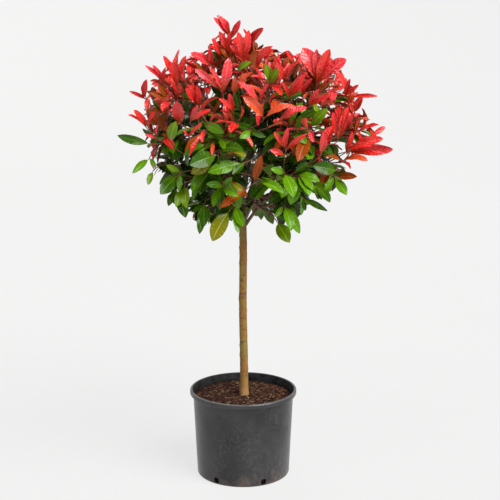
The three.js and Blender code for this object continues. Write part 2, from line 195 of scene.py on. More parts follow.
# How the plant grows, the same rule as its source
trunk = dict(foot=210, top=765, footRadius=10.6, forkRadius=9.6, tipRadius=6.2, forkHeight=655, flare=2.4,
             flareHeight=22, footX=1.7, topX=-1.4, sway=0.9, bends=(11, 7), firstBend=1)
tiers = {
    "skirt": dict(count=6, height=724, middleX=4, ring=80, turn=-128, space=76, climb=-0.15, shoots=4),
    "lower": dict(count=6, height=810, middleX=8, ring=154, turn=-120, space=88, climb=0.1, shoots=4),
    "middle": dict(count=6, height=905, middleX=18, ring=204, turn=-110, space=98, climb=0.4, shoots=5),
    "upper": dict(count=6, height=1000, middleX=18, ring=162, turn=-80, space=92, climb=0.8, shoots=4),
    "crest": dict(count=3, height=1062, middleX=-8, ring=38, turn=-75, space=80, climb=1.7, shoots=4),
    "inner": dict(count=3, height=930, middleX=10, ring=66, turn=-15, space=124, climb=0.9, shoots=5),
}
# how far a mass may stand from its even place in the tier
offPlace = dict(turn=10, ringFrom=0.94, ringSpread=0.12, height=20)
# masses that stand out of the round head, by so much outwards and upwards
accents = dict(foliage_skirt_2=(14, 0), foliage_lower_3=(36, 12), foliage_middle_3=(40, -12),
               foliage_middle_6=(14, 0), foliage_upper_2=(12, 0), foliage_crest_3=(-8, 14))
bough = dict(start=656, step=9, order=(2, 1, 0, 5, 4, 3), base=4.4, tip=2.9, arch=0.14)
leader = dict(start=718, step=13, base=4.8, tip=3.0, arch=0.2)
# where the side limbs leave a bough or leader: a share of its length, times one for each side
spur = dict(share=0.42, lower=0.7, upper=1, left=0.8, right=1.2, base=3.2, tip=2.3, arch=0.1)
stem = dict(entry=0.62, radius=2.3, bend=0.4, sideBend=0.14, stepLength=35, innerStart=716, innerStep=12)
shoot = dict(firstShare=0.1, lastShare=0.92, spreadAngle=62, angleFrom=0.85, angleSpread=0.3, lastAngle=10,
             turnSpread=20, reach=0.78, reachFrom=0.88, reachSpread=0.24, radius=2.3, arch=0.14, steps=2)
leafRule = dict(count=5, firstShare=0.34, length=84, spread=0.16, shape=0.42, tipAngle=34, footAngle=76,
                angleSpread=12, turnSpread=24, droop=0.4, tipScale=0.74, ripening=2.2, faceUp=0.35,
                agedFaceUp=0.4, sunk=1.6, drawnSunk=0.6)
# the plain leaf that is tried for room, in shares of its length
plainLeaf = dict(foot=0.06, widest=0.55, beyond=0.45, lift=0.045, keelAt=0.28, keel=0.032)
fit = dict(wallGap=0.4, limbGap=1.2, spaceShare=1.75, tries=8, turnStep=17, shrink=0.96, clearance=0.3,
           leafSide=2.5, above=4, below=2, steep=0.2, upright=0.98, twigStops=(0.25, 0.5, 0.75, 1),
           limbTwigStops=(0.6, 0.8, 1))


def trunkPoint(z):
    rise = (z - trunk["foot"]) / (trunk["top"] - trunk["foot"])
    x = mix(trunk["footX"], trunk["topX"], rise) + trunk["sway"] * math.sin(rise * trunk["bends"][0])
    return np.array((x, trunk["sway"] * math.sin(rise * trunk["bends"][1] + trunk["firstBend"]), z))


def trunkRadius(z):
    if z < trunk["forkHeight"]:
        share = (z - trunk["foot"]) / (trunk["forkHeight"] - trunk["foot"])
        taper = mix(trunk["footRadius"], trunk["forkRadius"], share)
    else:
        share = (z - trunk["forkHeight"]) / (trunk["top"] - trunk["forkHeight"])
        taper = mix(trunk["forkRadius"], trunk["tipRadius"], share)
    return taper + trunk["flare"] * math.exp(-(z - trunk["foot"]) / trunk["flareHeight"])


def arc(start, handle, end):
    # a quadratic curve: its points and its unit tangents
    def pointAt(t):
        return (1 - t) ** 2 * start + 2 * t * (1 - t) * handle + t * t * end

    def tangentAt(t):
        return unit((1 - t) * (handle - start) + t * (end - handle))

    return pointAt, tangentAt


def limbOf(name, kind, start, end, lift):
    reach = math.dist(start, end)
    pointAt, tangentAt = arc(start, mix(start, end, 0.5) + lift * kind["arch"] * reach, end)
    return SimpleNamespace(name=name, kind=kind, pointAt=pointAt, tangentAt=tangentAt, reach=reach,
                           radiusAt=lambda t: mix(kind["base"], kind["tip"], t))


def bentPath(start, handle, end, steps):
    # a twig with a few joints; curveAt is the same twig drawn smooth
    curveAt, tangentAt = arc(start, handle, end)
    joints = [curveAt(i / steps) for i in range(steps + 1)]

    def pointAt(t):
        joint = min(steps - 1, math.floor(t * steps))
        return mix(joints[joint], joints[joint + 1], t * steps - joint)

    return SimpleNamespace(pointAt=pointAt, tangentAt=tangentAt, curveAt=curveAt, reach=math.dist(start, end),
                           leaves=[], flush=[], isShown=False)


def massesOf(tierName):
    tier = tiers[tierName]
    draw = seededRandom(seed + len(tierName) * seedSteps["tier"])
    made = []
    for i in range(tier["count"]):
        turn = math.radians(tier["turn"] + i * 360 / tier["count"] + offPlace["turn"] * (draw() - 0.5))
        ring = tier["ring"] * (offPlace["ringFrom"] + offPlace["ringSpread"] * draw())
        outward = np.array((math.cos(turn), math.sin(turn), 0))
        name = f"foliage_{tierName}_{i + 1}"
        out, lift = accents.get(name, (0, 0))
        height = tier["height"] + offPlace["height"] * (draw() - 0.5) + lift
        heart = np.array((tier["middleX"], 0, height)) + outward * (ring + out)
        aim = unit(outward + up * tier["climb"])
        entry = heart - aim * stem["entry"] * tier["space"]
        made.append(SimpleNamespace(name=name, tierName=tierName, tier=tier, place=i, heart=heart, aim=aim,
                                    outward=outward, entry=entry, space=tier["space"], limb=None,
                                    shown=[], shoots=[], sideTwigs=[]))
    return made


def growLimbs():
    limbs = []

    def add(limb, mass):
        mass.limb = limb
        limbs.append(limb)
        return limb

    def addSpur(parent, side, mass):
        start = parent.pointAt(spur["share"] * spur[side])
        add(limbOf(f"{parent.name}_{side}_limb", spur, start, mass.entry, up), mass)

    for i, mass in enumerate(masses["lower"]):
        start = trunkPoint(bough["start"] + bough["order"][i] * bough["step"])
        limb = add(limbOf(f"bough_{i + 1}", bough, start, mass.entry, up), mass)
        addSpur(limb, "lower", masses["skirt"][i])
        addSpur(limb, "upper", masses["middle"][i])
    for i, mass in enumerate(masses["crest"]):
        start = trunkPoint(leader["start"] + i * leader["step"])
        limb = add(limbOf(f"leader_{i + 1}", leader, start, mass.entry, mass.outward), mass)
        addSpur(limb, "left", masses["upper"][2 * i])
        addSpur(limb, "right", masses["upper"][2 * i + 1])
    return limbs


def stemOf(mass):
    if mass.limb:
        way = mass.limb.tangentAt(1)
        start = mass.limb.pointAt(1) + way * fit["clearance"]
        bend = stem["bend"]
    else:
        # the inner masses stand on the trunk itself
        height = stem["innerStart"] + stem["innerStep"] * mass.place
        way = unit(np.array((mass.heart[0], mass.heart[1], 0)))
        start = trunkPoint(height) + way * (trunkRadius(height) + fit["clearance"])
        bend = stem["sideBend"]
    reach = math.dist(start, mass.heart)
    return bentPath(start, start + way * bend * reach, mass.heart, math.ceil(reach / stem["stepLength"]))


masses = {name: massesOf(name) for name in tiers}
limbs = growLimbs()
allMasses = [mass for tier in masses.values() for mass in tier]
for index, mass in enumerate(allMasses):
    mass.index = index
    mass.stem = stemOf(mass)
hearts = np.array([mass.heart for mass in allMasses])
spaces = np.array([mass.space for mass in allMasses], float)


def woodSamples(spacing=5):
    # points, radii and owners along the trunk and every limb and stem
    samples = [(trunkPoint(z), trunkRadius(z), -1) for z in range(trunk["foot"], trunk["top"] + 1, spacing)]
    paths = [(limb, limb.radiusAt, -1) for limb in limbs]
    paths += [(mass.stem, lambda t: stem["radius"], mass.index) for mass in allMasses]
    for path, radiusAt, owner in paths:
        count = math.ceil(math.dist(path.pointAt(0), path.pointAt(1)) / spacing)
        samples += [(path.pointAt(i / count), radiusAt(i / count), owner) for i in range(count + 1)]
    return [np.array(column) for column in zip(*samples)]


woodAt, woodRadius, woodOwner = woodSamples()


def powersOf(points):
    # squared distances to the hearts, less the squared size of each mass
    return ((points[..., None, :] - hearts) ** 2).sum(-1) - spaces ** 2


def ownerOf(point):
    return int(powersOf(point).argmin())


def inOwnSpace(points, index, gap=fit["wallGap"]):
    # nearer to its own heart than to any other, by the sizes of the two masses
    squares = powersOf(np.atleast_2d(points))
    own = squares[:, index]
    if (own > (fit["spaceShare"] ** 2 - 1) * spaces[index] ** 2).any():
        return False
    others = np.arange(len(hearts)) != index
    apart = np.linalg.norm(hearts[others] - hearts[index], axis=1)
    return bool((((squares[:, others] - own[:, None]) / (2 * apart)) > gap).all())


def leafOf(root, along, face, length):
    across = unit(cross(face, along))
    half = length * leafRule["shape"] / 2
    widest, lift = length * plainLeaf["widest"], length * plainLeaf["lift"]

    def at(forward, sideways, height):
        return root + along * forward + across * sideways + face * height

    left, right = at(widest, half, lift), at(widest, -half, lift)
    tip, foot = at(length, 0, 0), at(length * plainLeaf["foot"], 0, 0)
    keel = at(length * plainLeaf["keelAt"], 0, -length * plainLeaf["keel"])
    corners = np.array((left, right, at(-leafRule["sunk"], 0, 0), keel, tip))
    edges = np.array(((foot, left), (left, tip), (tip, right), (right, foot), (foot, tip)))
    faces = np.array(((foot, left, tip), (foot, tip, right)))
    return SimpleNamespace(root=root, along=along, face=face, across=across, length=length, half=half,
                           tip=tip, corners=corners, edges=edges, faces=faces, tint=None, wide=1)


def runsThrough(edges, faces):
    # whether one of the edges runs through one of the faces
    start = edges[:, 0][:, None]
    way = (edges[:, 1] - edges[:, 0])[:, None]
    first, second = faces[:, 1] - faces[:, 0], faces[:, 2] - faces[:, 0]
    normal = np.cross(first, second)
    steep = (way * normal[None]).sum(-1)
    steep = np.where(np.abs(steep) < 1e-9, 1e-9, steep)
    offset = faces[:, 0][None] - start
    share = (offset * normal[None]).sum(-1) / steep
    crossing = (share >= 0) & (share < 1)
    if not crossing.any():
        return False
    hit = start + way * share[..., None] - faces[:, 0][None]
    f11, f12, f22 = (first * first).sum(-1), (first * second).sum(-1), (second * second).sum(-1)
    h1, h2 = (hit * first[None]).sum(-1), (hit * second[None]).sum(-1)
    spread = f11 * f22 - f12 ** 2
    u, v = (f22 * h1 - f12 * h2) / spread, (f11 * h2 - f12 * h1) / spread
    return bool((crossing & (u >= 0) & (v >= 0) & (u + v <= 1)).any())


def woodInLeaf(leaf, index):
    others = woodOwner != index
    offset = woodAt[others] - leaf.root
    pad = woodRadius[others] + fit["limbGap"]
    along = offset @ leaf.along
    share = along / leaf.length
    full = np.where(share < plainLeaf["widest"], share / plainLeaf["widest"],
                    (1 - share) / plainLeaf["beyond"])
    half = np.maximum(0, full) * leaf.half + fit["leafSide"]
    height = offset @ leaf.face
    inside = (along > -pad) & (along < leaf.length + pad) & (np.abs(offset @ leaf.across) < half + pad)
    return bool((inside & (height < pad + fit["above"]) & (height > -pad - fit["below"])).any())


def leafFits(leaf, index, placed, twigs):
    if not inOwnSpace(leaf.corners, index) or woodInLeaf(leaf, index) or runsThrough(twigs, leaf.faces):
        return False
    if not placed:
        return True
    edges = np.concatenate([other.edges for other in placed])
    faces = np.concatenate([other.faces for other in placed])
    return not (runsThrough(edges, leaf.faces) or runsThrough(leaf.edges, faces))


def piecesOf(path, count=4):
    stops = [path.pointAt(i / count) for i in range(count + 1)]
    return [(stops[i], stops[i + 1]) for i in range(count)]


def leavesOf(path, index, placed, twigs, draw, rule=leafRule):
    # upright and small at the shoot's tip, wide and drooping at its foot
    leaves = []
    phase = draw() * 360
    for i in range(rule["count"]):
        age = 1 - i / max(1, rule["count"] - 1)
        share = mix(1, rule["firstShare"], age)
        turnDraw, angleDraw, sizeDraw = draw(), draw(), draw()
        tangent = path.tangentAt(share)
        side = cross(up, tangent)
        if math.sqrt(side @ side) < fit["steep"]:
            side = cross(eastward, tangent)
        side = unit(side)
        rise = cross(tangent, side)
        root = path.pointAt(share) - tangent * rule["sunk"]
        scale = mix(rule["tipScale"], 1, min(1, age * rule["ripening"]))
        scale *= 1 + rule["spread"] * (sizeDraw * 2 - 1)
        opening = mix(rule["tipAngle"], rule["footAngle"], age) + rule["angleSpread"] * (angleDraw * 2 - 1)
        upward = mix(tangent, up, rule["faceUp"] + rule["agedFaceUp"] * age)
        for attempt in range(fit["tries"]):
            away = attempt if attempt % 2 else -attempt
            turn = phase + i * goldenAngle + rule["turnSpread"] * (turnDraw - 0.5) + away * fit["turnStep"]
            out = swing(side, rise, math.radians(turn))
            along = unit(swing(tangent, out, math.radians(opening)) - up * rule["droop"] * age)
            size = rule["length"] * scale * fit["shrink"] ** attempt
            leaf = leafOf(root, along, squareTo(upward, along), size)
            if not leafFits(leaf, index, placed + leaves, twigs) or not seenWell(leaf):
                continue
            leaf.age, leaf.share = age, share
            leaf.foot = path.curveAt(share) - tangent * rule["drawnSunk"]
            leaves.append(leaf)
            break
    return leaves


def twigFits(path, index, radius, fromLimb=False):
    stops = fit["limbTwigStops" if fromLimb else "twigStops"]
    points = np.array([path.pointAt(t) for t in stops])
    if not inOwnSpace(points, index, radius + fit["wallGap"]):
        return False
    others = woodOwner != index
    away = np.linalg.norm(points[:, None] - woodAt[others][None], axis=2)
    return bool((away > woodRadius[others] + radius + fit["limbGap"]).all())


def spreadOut(axis, turn, angle):
    # a direction that leaves the axis by the angle, on the side that the turn gives
    side = unit(cross(up if abs(axis[2]) < fit["upright"] else eastward, axis))
    return swing(axis, swing(side, cross(axis, side), turn), angle)


# What the scene adds to the source's shoots: side twigs on the shoots and the stem, leafy twigs on the
# limbs inside the head, and a flush of young leaves at each tip.
finer = dict(perShoot=2, perStem=3, lowTiers=("skirt", "lower"), perLowShoot=1, firstShare=0.15,
             lastShare=0.7, stemFirst=0.05, stemLast=0.95, angle=(38, 64), reach=(0.3, 0.5), length=90,
             lift=0.25, radius=1.3, tipReach=0.86, ownAt=0.7, arch=0.12, steps=2, tries=5, turnStep=55,
             fewestLeaves=2, limbSpacing=24, limbFrom=0.16, limbTo=0.96, trunkFrom=672, trunkSpacing=11)
finerLeaves = dict(leafRule, count=4, length=76, firstShare=0.4, tipAngle=32, footAngle=66, tipScale=0.8)
flushLeaves = dict(leafRule, count=3, length=96, firstShare=0.9, tipAngle=20, footAngle=32, droop=0.0,
                   tipScale=0.72, angleSpread=7)
headMiddle, headRadii = np.array((15.0, 0, 895)), np.array((345.0, 300, 300))


def outness(point):
    # 0 in the middle of the head, 1 at its outline
    return float(np.linalg.norm((point - headMiddle) / headRadii))


# Where the camera sees a place in its picture of 500 by 500, and the line of sight through a spot of it.
lens = dict(place=np.array((17.8, -3000.0, 1227.2)), pitch=11.82, focal=85.86, sensor=36, picture=500)
pitch, halfPicture = math.radians(lens["pitch"]), lens["picture"] / 2
ahead = np.array((0, math.cos(pitch), -math.sin(pitch)))
above = np.array((0, math.sin(pitch), math.cos(pitch)))
pictureScale = lens["focal"] / lens["sensor"] * lens["picture"]


def spotsOf(points):
    offset = np.atleast_2d(points) - lens["place"]
    depth = offset @ ahead
    spots = np.stack((halfPicture + pictureScale * offset[:, 0] / depth,
                      halfPicture - pictureScale * (offset @ above) / depth), -1)
    return spots, depth


def sightThrough(u, v):
    return unit(ahead + eastward * (u - halfPicture) / pictureScale
                + above * (halfPicture - v) / pictureScale)


# How far the head reaches from its middle in the picture, by the angle up from the right: a low bay under
# each side and one at the trunk, and the dip between the crown and the right shoulder.
headOutline = dict(middle=(252, 140),
                   reach={0: 128, 15: 114, 45: 114, 75: 90, 105: 112, 120: 98, 150: 118, 180: 108, 240: 98,
                          270: 76, 290: 94, 315: 88, 345: 106, 360: 128})
# the bough that shows low on the right: no leaf of the rule's hangs in front of it there
openBough = dict(name="bough_3", upTo=0.5, stops=9, margin=0.5)
# what an added leaf may reach past the source's own box, at the low and at the high sides
moreRoom = ((-6, -6, 0), (6, 6, 4))
reachBox = np.array(cadBox) / mm + np.array(moreRoom)


def inOutline(spots):
    away = spots - headOutline["middle"]
    angle = np.degrees(np.arctan2(-away[:, 1], away[:, 0])) % 360
    reach = np.interp(angle, list(headOutline["reach"]), list(headOutline["reach"].values()))
    return bool((np.hypot(away[:, 0], away[:, 1]) < reach).all())


def inReach(leaf):
    return bool((leaf.tip > reachBox[0]).all() and (leaf.tip < reachBox[1]).all())


# The shoots that stand out in the picture: the spot that each one's leaves spring from, then each leaf's
# tip, with a share of the usual width where it differs. They grow from the nearest wood.
shownShoots = {
    "rose": (
        ((230, 37), (217, 15, 1.3), (213, 18), (240, 20)),
        ((213, 66), (209, 47), (191, 52, 1.2), (189, 56)),
        ((222, 92), (194, 70, 1.05), (229, 58, 1.05), (209, 66, 0.7)),
        ((162, 82), (145, 65, 0.8), (153, 65), (165, 67, 1.2)),
        ((260, 104), (238, 83, 1.2), (268, 83)),
        ((317, 83), (302, 48, 1.6), (316, 49), (330, 49, 1.2), (347, 60, 1.3)),
        ((277, 124), (307, 107, 1.3)),
        ((156, 138), (158, 124), (145, 134)),
        ((190, 122), (211, 110, 0.9), (199, 106)),
        ((278, 74), (275, 56), (287, 62)),
    ),
    "scarlet": (
        ((230, 54), (218, 32), (231, 31), (239, 42)),
        ((222, 57), (211, 39), (208, 45)),
        ((243, 62), (237, 32, 1.2), (248, 30), (230, 45)),
        ((250, 47), (263, 27, 1.2), (244, 28, 0.8)),
        ((257, 66), (272, 45, 1.1), (275, 50), (262, 50)),
        ((175, 83), (163, 56), (178, 49, 0.8), (187, 56), (170, 62, 1.2)),
        ((146, 99), (146, 79, 1.2), (129, 92, 0.8)),
        ((147, 128), (133, 111, 1.2), (128, 115, 0.8), (157, 111)),
        ((181, 124), (176, 101, 1.7)),
        ((189, 138), (202, 123, 0.75), (182, 130, 0.8)),
        ((289, 97), (305, 74), (304, 82, 1.1), (282, 82)),
        ((284, 84), (276, 62, 0.9), (299, 60, 0.8)),
        ((295, 66), (286, 50), (300, 56, 0.8)),
        ((310, 107), (332, 94, 1.2), (318, 88)),
        ((346, 95), (337, 71, 1.2), (351, 79), (359, 85, 0.8), (378, 95, 0.7)),
        ((355, 112), (362, 96, 1.2), (348, 103)),
        ((338, 140), (332, 112, 1.2), (342, 105, 1.1), (349, 107)),
        ((321, 154), (334, 127, 1.7), (323, 132)),
        ((355, 134), (379, 124, 1.2), (358, 119, 0.8)),
        ((369, 137), (385, 127)),
        ((347, 152), (383, 138, 1.3), (393, 147, 1.1)),
        ((286, 149), (275, 131), (287, 127), (306, 133, 0.8)),
        ((285, 155), (270, 150, 1.6)),
        ((233, 113), (219, 98), (230, 93, 1.2)),
    ),
    "crimson": (
        ((198, 107), (186, 87, 1.2), (197, 85)),
        ((344, 132), (334, 110), (352, 112, 0.9)),
        ((345, 153), (352, 131), (372, 146, 0.9)),
        ((303, 96), (312, 78), (296, 84)),
    ),
    "coral": (
        ((264, 118), (294, 105, 1.5), (243, 97, 1.2)),
        ((348, 106), (358, 92, 1.4)),
        ((343, 161), (368, 160, 1.4), (324, 155, 0.8)),
        ((213, 141), (212, 155, 1.1)),
        ((234, 95), (253, 73, 1.2), (235, 76)),
    ),
    "bronze": (
        ((254, 182), (261, 155, 0.85)),
        ((247, 189), (221, 209)),
        ((336, 176), (357, 177)),
        ((167, 98), (158, 84, 1.2), (149, 93, 0.8)),
    ),
    "green": (
        ((244, 163), (208, 173, 1.0), (233, 175)),
        ((224, 187), (206, 184), (239, 196, 1.1), (233, 178)),
        ((260, 180), (283, 195), (274, 187)),
        ((284, 173), (295, 197, 1.2), (271, 168)),
        ((284, 207), (292, 231), (274, 217), (301, 233, 0.8)),
        ((235, 206), (243, 227, 1.1), (237, 233, 0.7)),
        ((335, 178), (347, 195), (325, 190)),
        ((202, 122), (224, 134), (196, 131)),
        ((251, 131), (266, 137), (240, 139, 1.2)),
        ((149, 159), (133, 174, 0.7), (156, 168)),
    ),
    "lime": (
        ((310, 128), (328, 109)),
        ((171, 142), (177, 122, 1.1)),
        ((184, 187), (176, 207, 0.9), (188, 208)),
        ((180, 173), (178, 191, 0.8), (166, 166)),
        ((153, 171), (148, 185)),
        ((237, 73), (251, 62)),
        ((270, 83), (265, 64), (279, 68)),
    ),
    "olive": (((230, 210), (212, 241, 1.25)), ((277, 222), (289, 243, 1.25))),
    "deep": (
        ((152, 144), (117, 137, 0.72)),
        ((177, 176), (171, 192, 1.4), (159, 193, 1.1)),
        ((178, 190), (168, 206), (184, 218)),
        ((204, 205), (199, 234, 0.8), (205, 226, 1.5)),
        ((304, 199), (327, 212, 0.6), (305, 211)),
        ((316, 186), (331, 202), (321, 200)),
        ((338, 171), (313, 165, 1.2)),
    ),
}
# wide narrows the drawn leaves and depth draws their foot in from the head's front; aslant, downhill and
# nearest weigh up which piece of wood a shoot starts from; cover is how much of a shown leaf is kept free
shownRule = dict(wide=0.86, depth=0.82, inFront=0.01, lean=(0.4, 1), outward=0.6, length=82, longer=1.04,
                 fold=1.4, aslant=60, downhill=0.7, below=15, nearest=32, tooNear=2, spacing=7, bow=0.3,
                 steps=3, tilt=24, faceUp=0.3, faceAlong=0.2, age=0.3, cover=0.9)


def placeBehind(u, v, share):
    # where the line of sight through a spot meets the front of the head, drawn in by a share
    way = sightThrough(u, v)
    start, step = (lens["place"] - headMiddle) / (headRadii * share), way / (headRadii * share)
    square, across, rest = step @ step, start @ step, start @ start - 1
    return lens["place"] + way * (-across - math.sqrt(max(0.0, across ** 2 - square * rest))) / square


def tipBehind(u, v, foot, nearer):
    # the place on the line of sight through a spot that lies a leaf's length from its foot
    way = sightThrough(u, v)
    middle = (foot - lens["place"]) @ way
    gap = math.dist(lens["place"] + way * middle, foot)
    reach = min(max(shownRule["length"], gap * shownRule["longer"]), gap * shownRule["fold"])
    return lens["place"] + way * (middle - nearer * math.sqrt(reach ** 2 - gap ** 2))


def nearestWood(foot, axis):
    # wood behind the shoot and below its leaves, and not too near to them
    rule = shownRule
    away = np.linalg.norm(woodAt - foot, axis=1)
    aslant = 1 - (foot - woodAt) @ axis / np.maximum(away, 1)
    cost = away + rule["aslant"] * aslant
    cost = cost + rule["downhill"] * np.maximum(0, woodAt[:, 2] - foot[2] + rule["below"])
    return woodAt[(cost + rule["tooNear"] * np.maximum(0, rule["nearest"] - away)).argmin()]


def growShown(tint, spot, tips, draw):
    rule = shownRule
    foot = placeBehind(*spot, rule["depth"])
    # leaves in front of the head lean out of it, those at its outline either way
    nearer = 1 if outness(foot) < rule["depth"] + rule["inFront"] else draw() * 2 - 1
    ends = [tipBehind(u, v, foot, nearer * between(rule["lean"], draw)) for u, v, *_ in tips]
    axis = unit(sum(unit(end - foot) for end in ends) + rule["outward"] * unit(foot - headMiddle))
    start = nearestWood(foot, axis)
    reach = math.dist(start, foot)
    path = bentPath(start, foot - axis * rule["bow"] * reach, foot, rule["steps"])
    path.isShown = True
    for i, (end, (u, v, *wide)) in enumerate(zip(ends, tips)):
        root = path.curveAt(1 - i * rule["spacing"] / reach)
        along = unit(end - root)
        tilt = math.radians(rule["tilt"] * (draw() * 2 - 1))
        face = squareTo(mix(-sightThrough(u, v), up, rule["faceUp"]) + axis * rule["faceAlong"], along)
        leaf = leafOf(root, along, swing(face, cross(along, face), tilt), math.dist(end, root))
        leaf.age, leaf.share, leaf.foot, leaf.tint = rule["age"], 1, root, tint
        leaf.wide = rule["wide"] * (wide[0] if wide else 1)
        path.leaves.append(leaf)
    allMasses[ownerOf(foot)].shown.append(path)
    return path.leaves


def plantShown():
    draw = seededRandom(seed + seedSteps["shown"])
    leaves = [leaf for tint, shoots in shownShoots.items() for spot, *tips in shoots
              for leaf in growShown(tint, spot, tips, draw)]
    starts, depths = spotsOf([leaf.root for leaf in leaves])
    ends, _ = spotsOf([leaf.tip for leaf in leaves])
    halves = np.array([leaf.half * leaf.wide for leaf in leaves]) * pictureScale / depths
    return starts, ends - starts, halves, depths


shownStarts, shownWays, shownHalves, shownDepths = plantShown()
boughSpots, boughDepths = spotsOf([limb.pointAt(t) for limb in limbs if limb.name == openBough["name"]
                                   for t in np.linspace(0, openBough["upTo"], openBough["stops"])])


def hidesBough(leaf):
    (foot, tip), depths = spotsOf([leaf.root, leaf.tip])
    way = tip - foot
    share = np.clip((boughSpots - foot) @ way / (way @ way), 0, 1)
    away = np.linalg.norm(boughSpots - foot - share[:, None] * way, axis=1)
    half = leaf.half * pictureScale / depths[0] + openBough["margin"]
    return bool(((away < half) & (boughDepths > depths.min())).any())


def seenWell(leaf):
    # inside the head's outline in the picture, and not in front of a shoot that shows there
    left, right, _, _, tip = leaf.corners
    middle = leaf.root + leaf.along * leaf.length * 0.5
    spots, depths = spotsOf([left, right, tip, middle])
    if not inOutline(spots) or hidesBough(leaf):
        return False
    offset = spots[:, None] - shownStarts[None]
    share = np.clip((offset * shownWays).sum(-1) / (shownWays ** 2).sum(-1), 0, 1)
    away = np.linalg.norm(offset - share[..., None] * shownWays, axis=-1)
    return not bool(((away < shownHalves * shownRule["cover"]) & (depths[:, None] < shownDepths)).any())


def growMass(mass):
    draw = seededRandom(seed + mass.index * seedSteps["mass"])
    count = mass.tier["shoots"]
    phase = draw() * 360
    for i in range(count):
        foot = mass.stem.pointAt(mix(shoot["firstShare"], shoot["lastShare"], i / (count - 1)))
        angleDraw, turnDraw, reachDraw = draw(), draw(), draw()
        angle = shoot["spreadAngle"] * (shoot["angleFrom"] + shoot["angleSpread"] * angleDraw)
        if i == count - 1:
            angle = shoot["lastAngle"] * angleDraw
        turn = phase + i * goldenAngle + shoot["turnSpread"] * (turnDraw - 0.5)
        way = spreadOut(mass.aim, math.radians(turn), math.radians(angle))
        share = shoot["reachFrom"] + shoot["reachSpread"] * reachDraw
        tip = mass.heart + way * shoot["reach"] * share * mass.space
        handle = mix(foot, tip, 0.5) + mass.aim * shoot["arch"] * math.dist(foot, tip)
        path = bentPath(foot, handle, tip, shoot["steps"])
        if twigFits(path, mass.index, shoot["radius"]):
            mass.shoots.append(path)
    paths = [mass.stem] + mass.shown + mass.shoots
    mass.twigLines = np.array([part for path in paths for part in piecesOf(path)])
    mass.placed = [leaf for path in mass.shown for leaf in path.leaves]
    for path in mass.shoots:
        path.leaves = leavesOf(path, mass.index, mass.placed, mass.twigLines, draw)
        mass.placed += path.leaves


def addSide(foot, tangent, turn, draw, index=None):
    # one leafy side twig; without an index it belongs to the mass whose space it grows into
    for attempt in range(finer["tries"]):
        angle = math.radians(between(finer["angle"], draw))
        way = spreadOut(tangent, turn + attempt * math.radians(finer["turnStep"]), angle)
        reach = between(finer["reach"], draw) * finer["length"]
        tip = foot + unit(way + up * finer["lift"]) * reach
        own = ownerOf(mix(foot, tip, finer["ownAt"])) if index is None else index
        mass = allMasses[own]
        if math.dist(tip, mass.heart) > finer["tipReach"] * mass.space and index is not None:
            continue
        handle = mix(foot, tip, 0.5) + tangent * finer["arch"] * reach
        side = bentPath(foot, handle, tip, finer["steps"])
        lines = np.array(piecesOf(side))
        faces = np.concatenate([leaf.faces for leaf in mass.placed] or [np.zeros((0, 3, 3))])
        if not twigFits(side, own, finer["radius"], index is None) or runsThrough(lines[1:], faces):
            continue
        lines = np.concatenate((mass.twigLines, lines))
        side.leaves = leavesOf(side, own, mass.placed, lines, draw, finerLeaves)
        if len(side.leaves) < finer["fewestLeaves"]:
            continue
        mass.twigLines = lines
        mass.placed += side.leaves
        mass.sideTwigs.append(side)
        return


def addSpiral(carrier, count, first, last, draw, index=None):
    phase = draw() * 360
    for i in range(count):
        share = mix(first, last, (i + draw()) / count)
        turn = math.radians(phase + i * goldenAngle)
        addSide(carrier.pointAt(share), carrier.tangentAt(share), turn, draw, index)


def growFiner(mass):
    # by the source's rule with draws of its own
    draw = seededRandom(seed + mass.index * seedSteps["mass"] + seedSteps["finer"])
    low = mass.tierName in finer["lowTiers"]
    for path in mass.shoots:
        young = leavesOf(path, mass.index, mass.placed, mass.twigLines, draw, flushLeaves)
        path.flush = [leaf for leaf in young if inReach(leaf)][:1 if low else None]
        mass.placed += path.flush
    for path in mass.shoots:
        count = finer["perLowShoot"] if low else finer["perShoot"]
        addSpiral(path, count, finer["firstShare"], finer["lastShare"], draw, mass.index)
    addSpiral(mass.stem, finer["perStem"], finer["stemFirst"], finer["stemLast"], draw, mass.index)


def growInside():
    # leafy twigs on the limbs and the top of the trunk, which close the middle of the head
    draw = seededRandom(seed + seedSteps["inside"])
    for limb in limbs:
        count = math.ceil(limb.reach / finer["limbSpacing"])
        addSpiral(limb, count, finer["limbFrom"], finer["limbTo"], draw)
    turn = 0
    for z in range(finer["trunkFrom"], trunk["top"], finer["trunkSpacing"]):
        turn += math.radians(goldenAngle)
        addSide(trunkPoint(z), up, turn, draw)


for mass in allMasses:
    growMass(mass)
    growFiner(mass)
growInside()
sourceLeaves = sum(len(path.leaves) for mass in allMasses for path in mass.shoots)
allLeaves = sum(len(p.leaves) + len(p.flush) for mass in allMasses for p in mass.shoots + mass.sideTwigs)
print("grown:", sourceLeaves, "leaves on the source's shoots,", allLeaves, "in all")


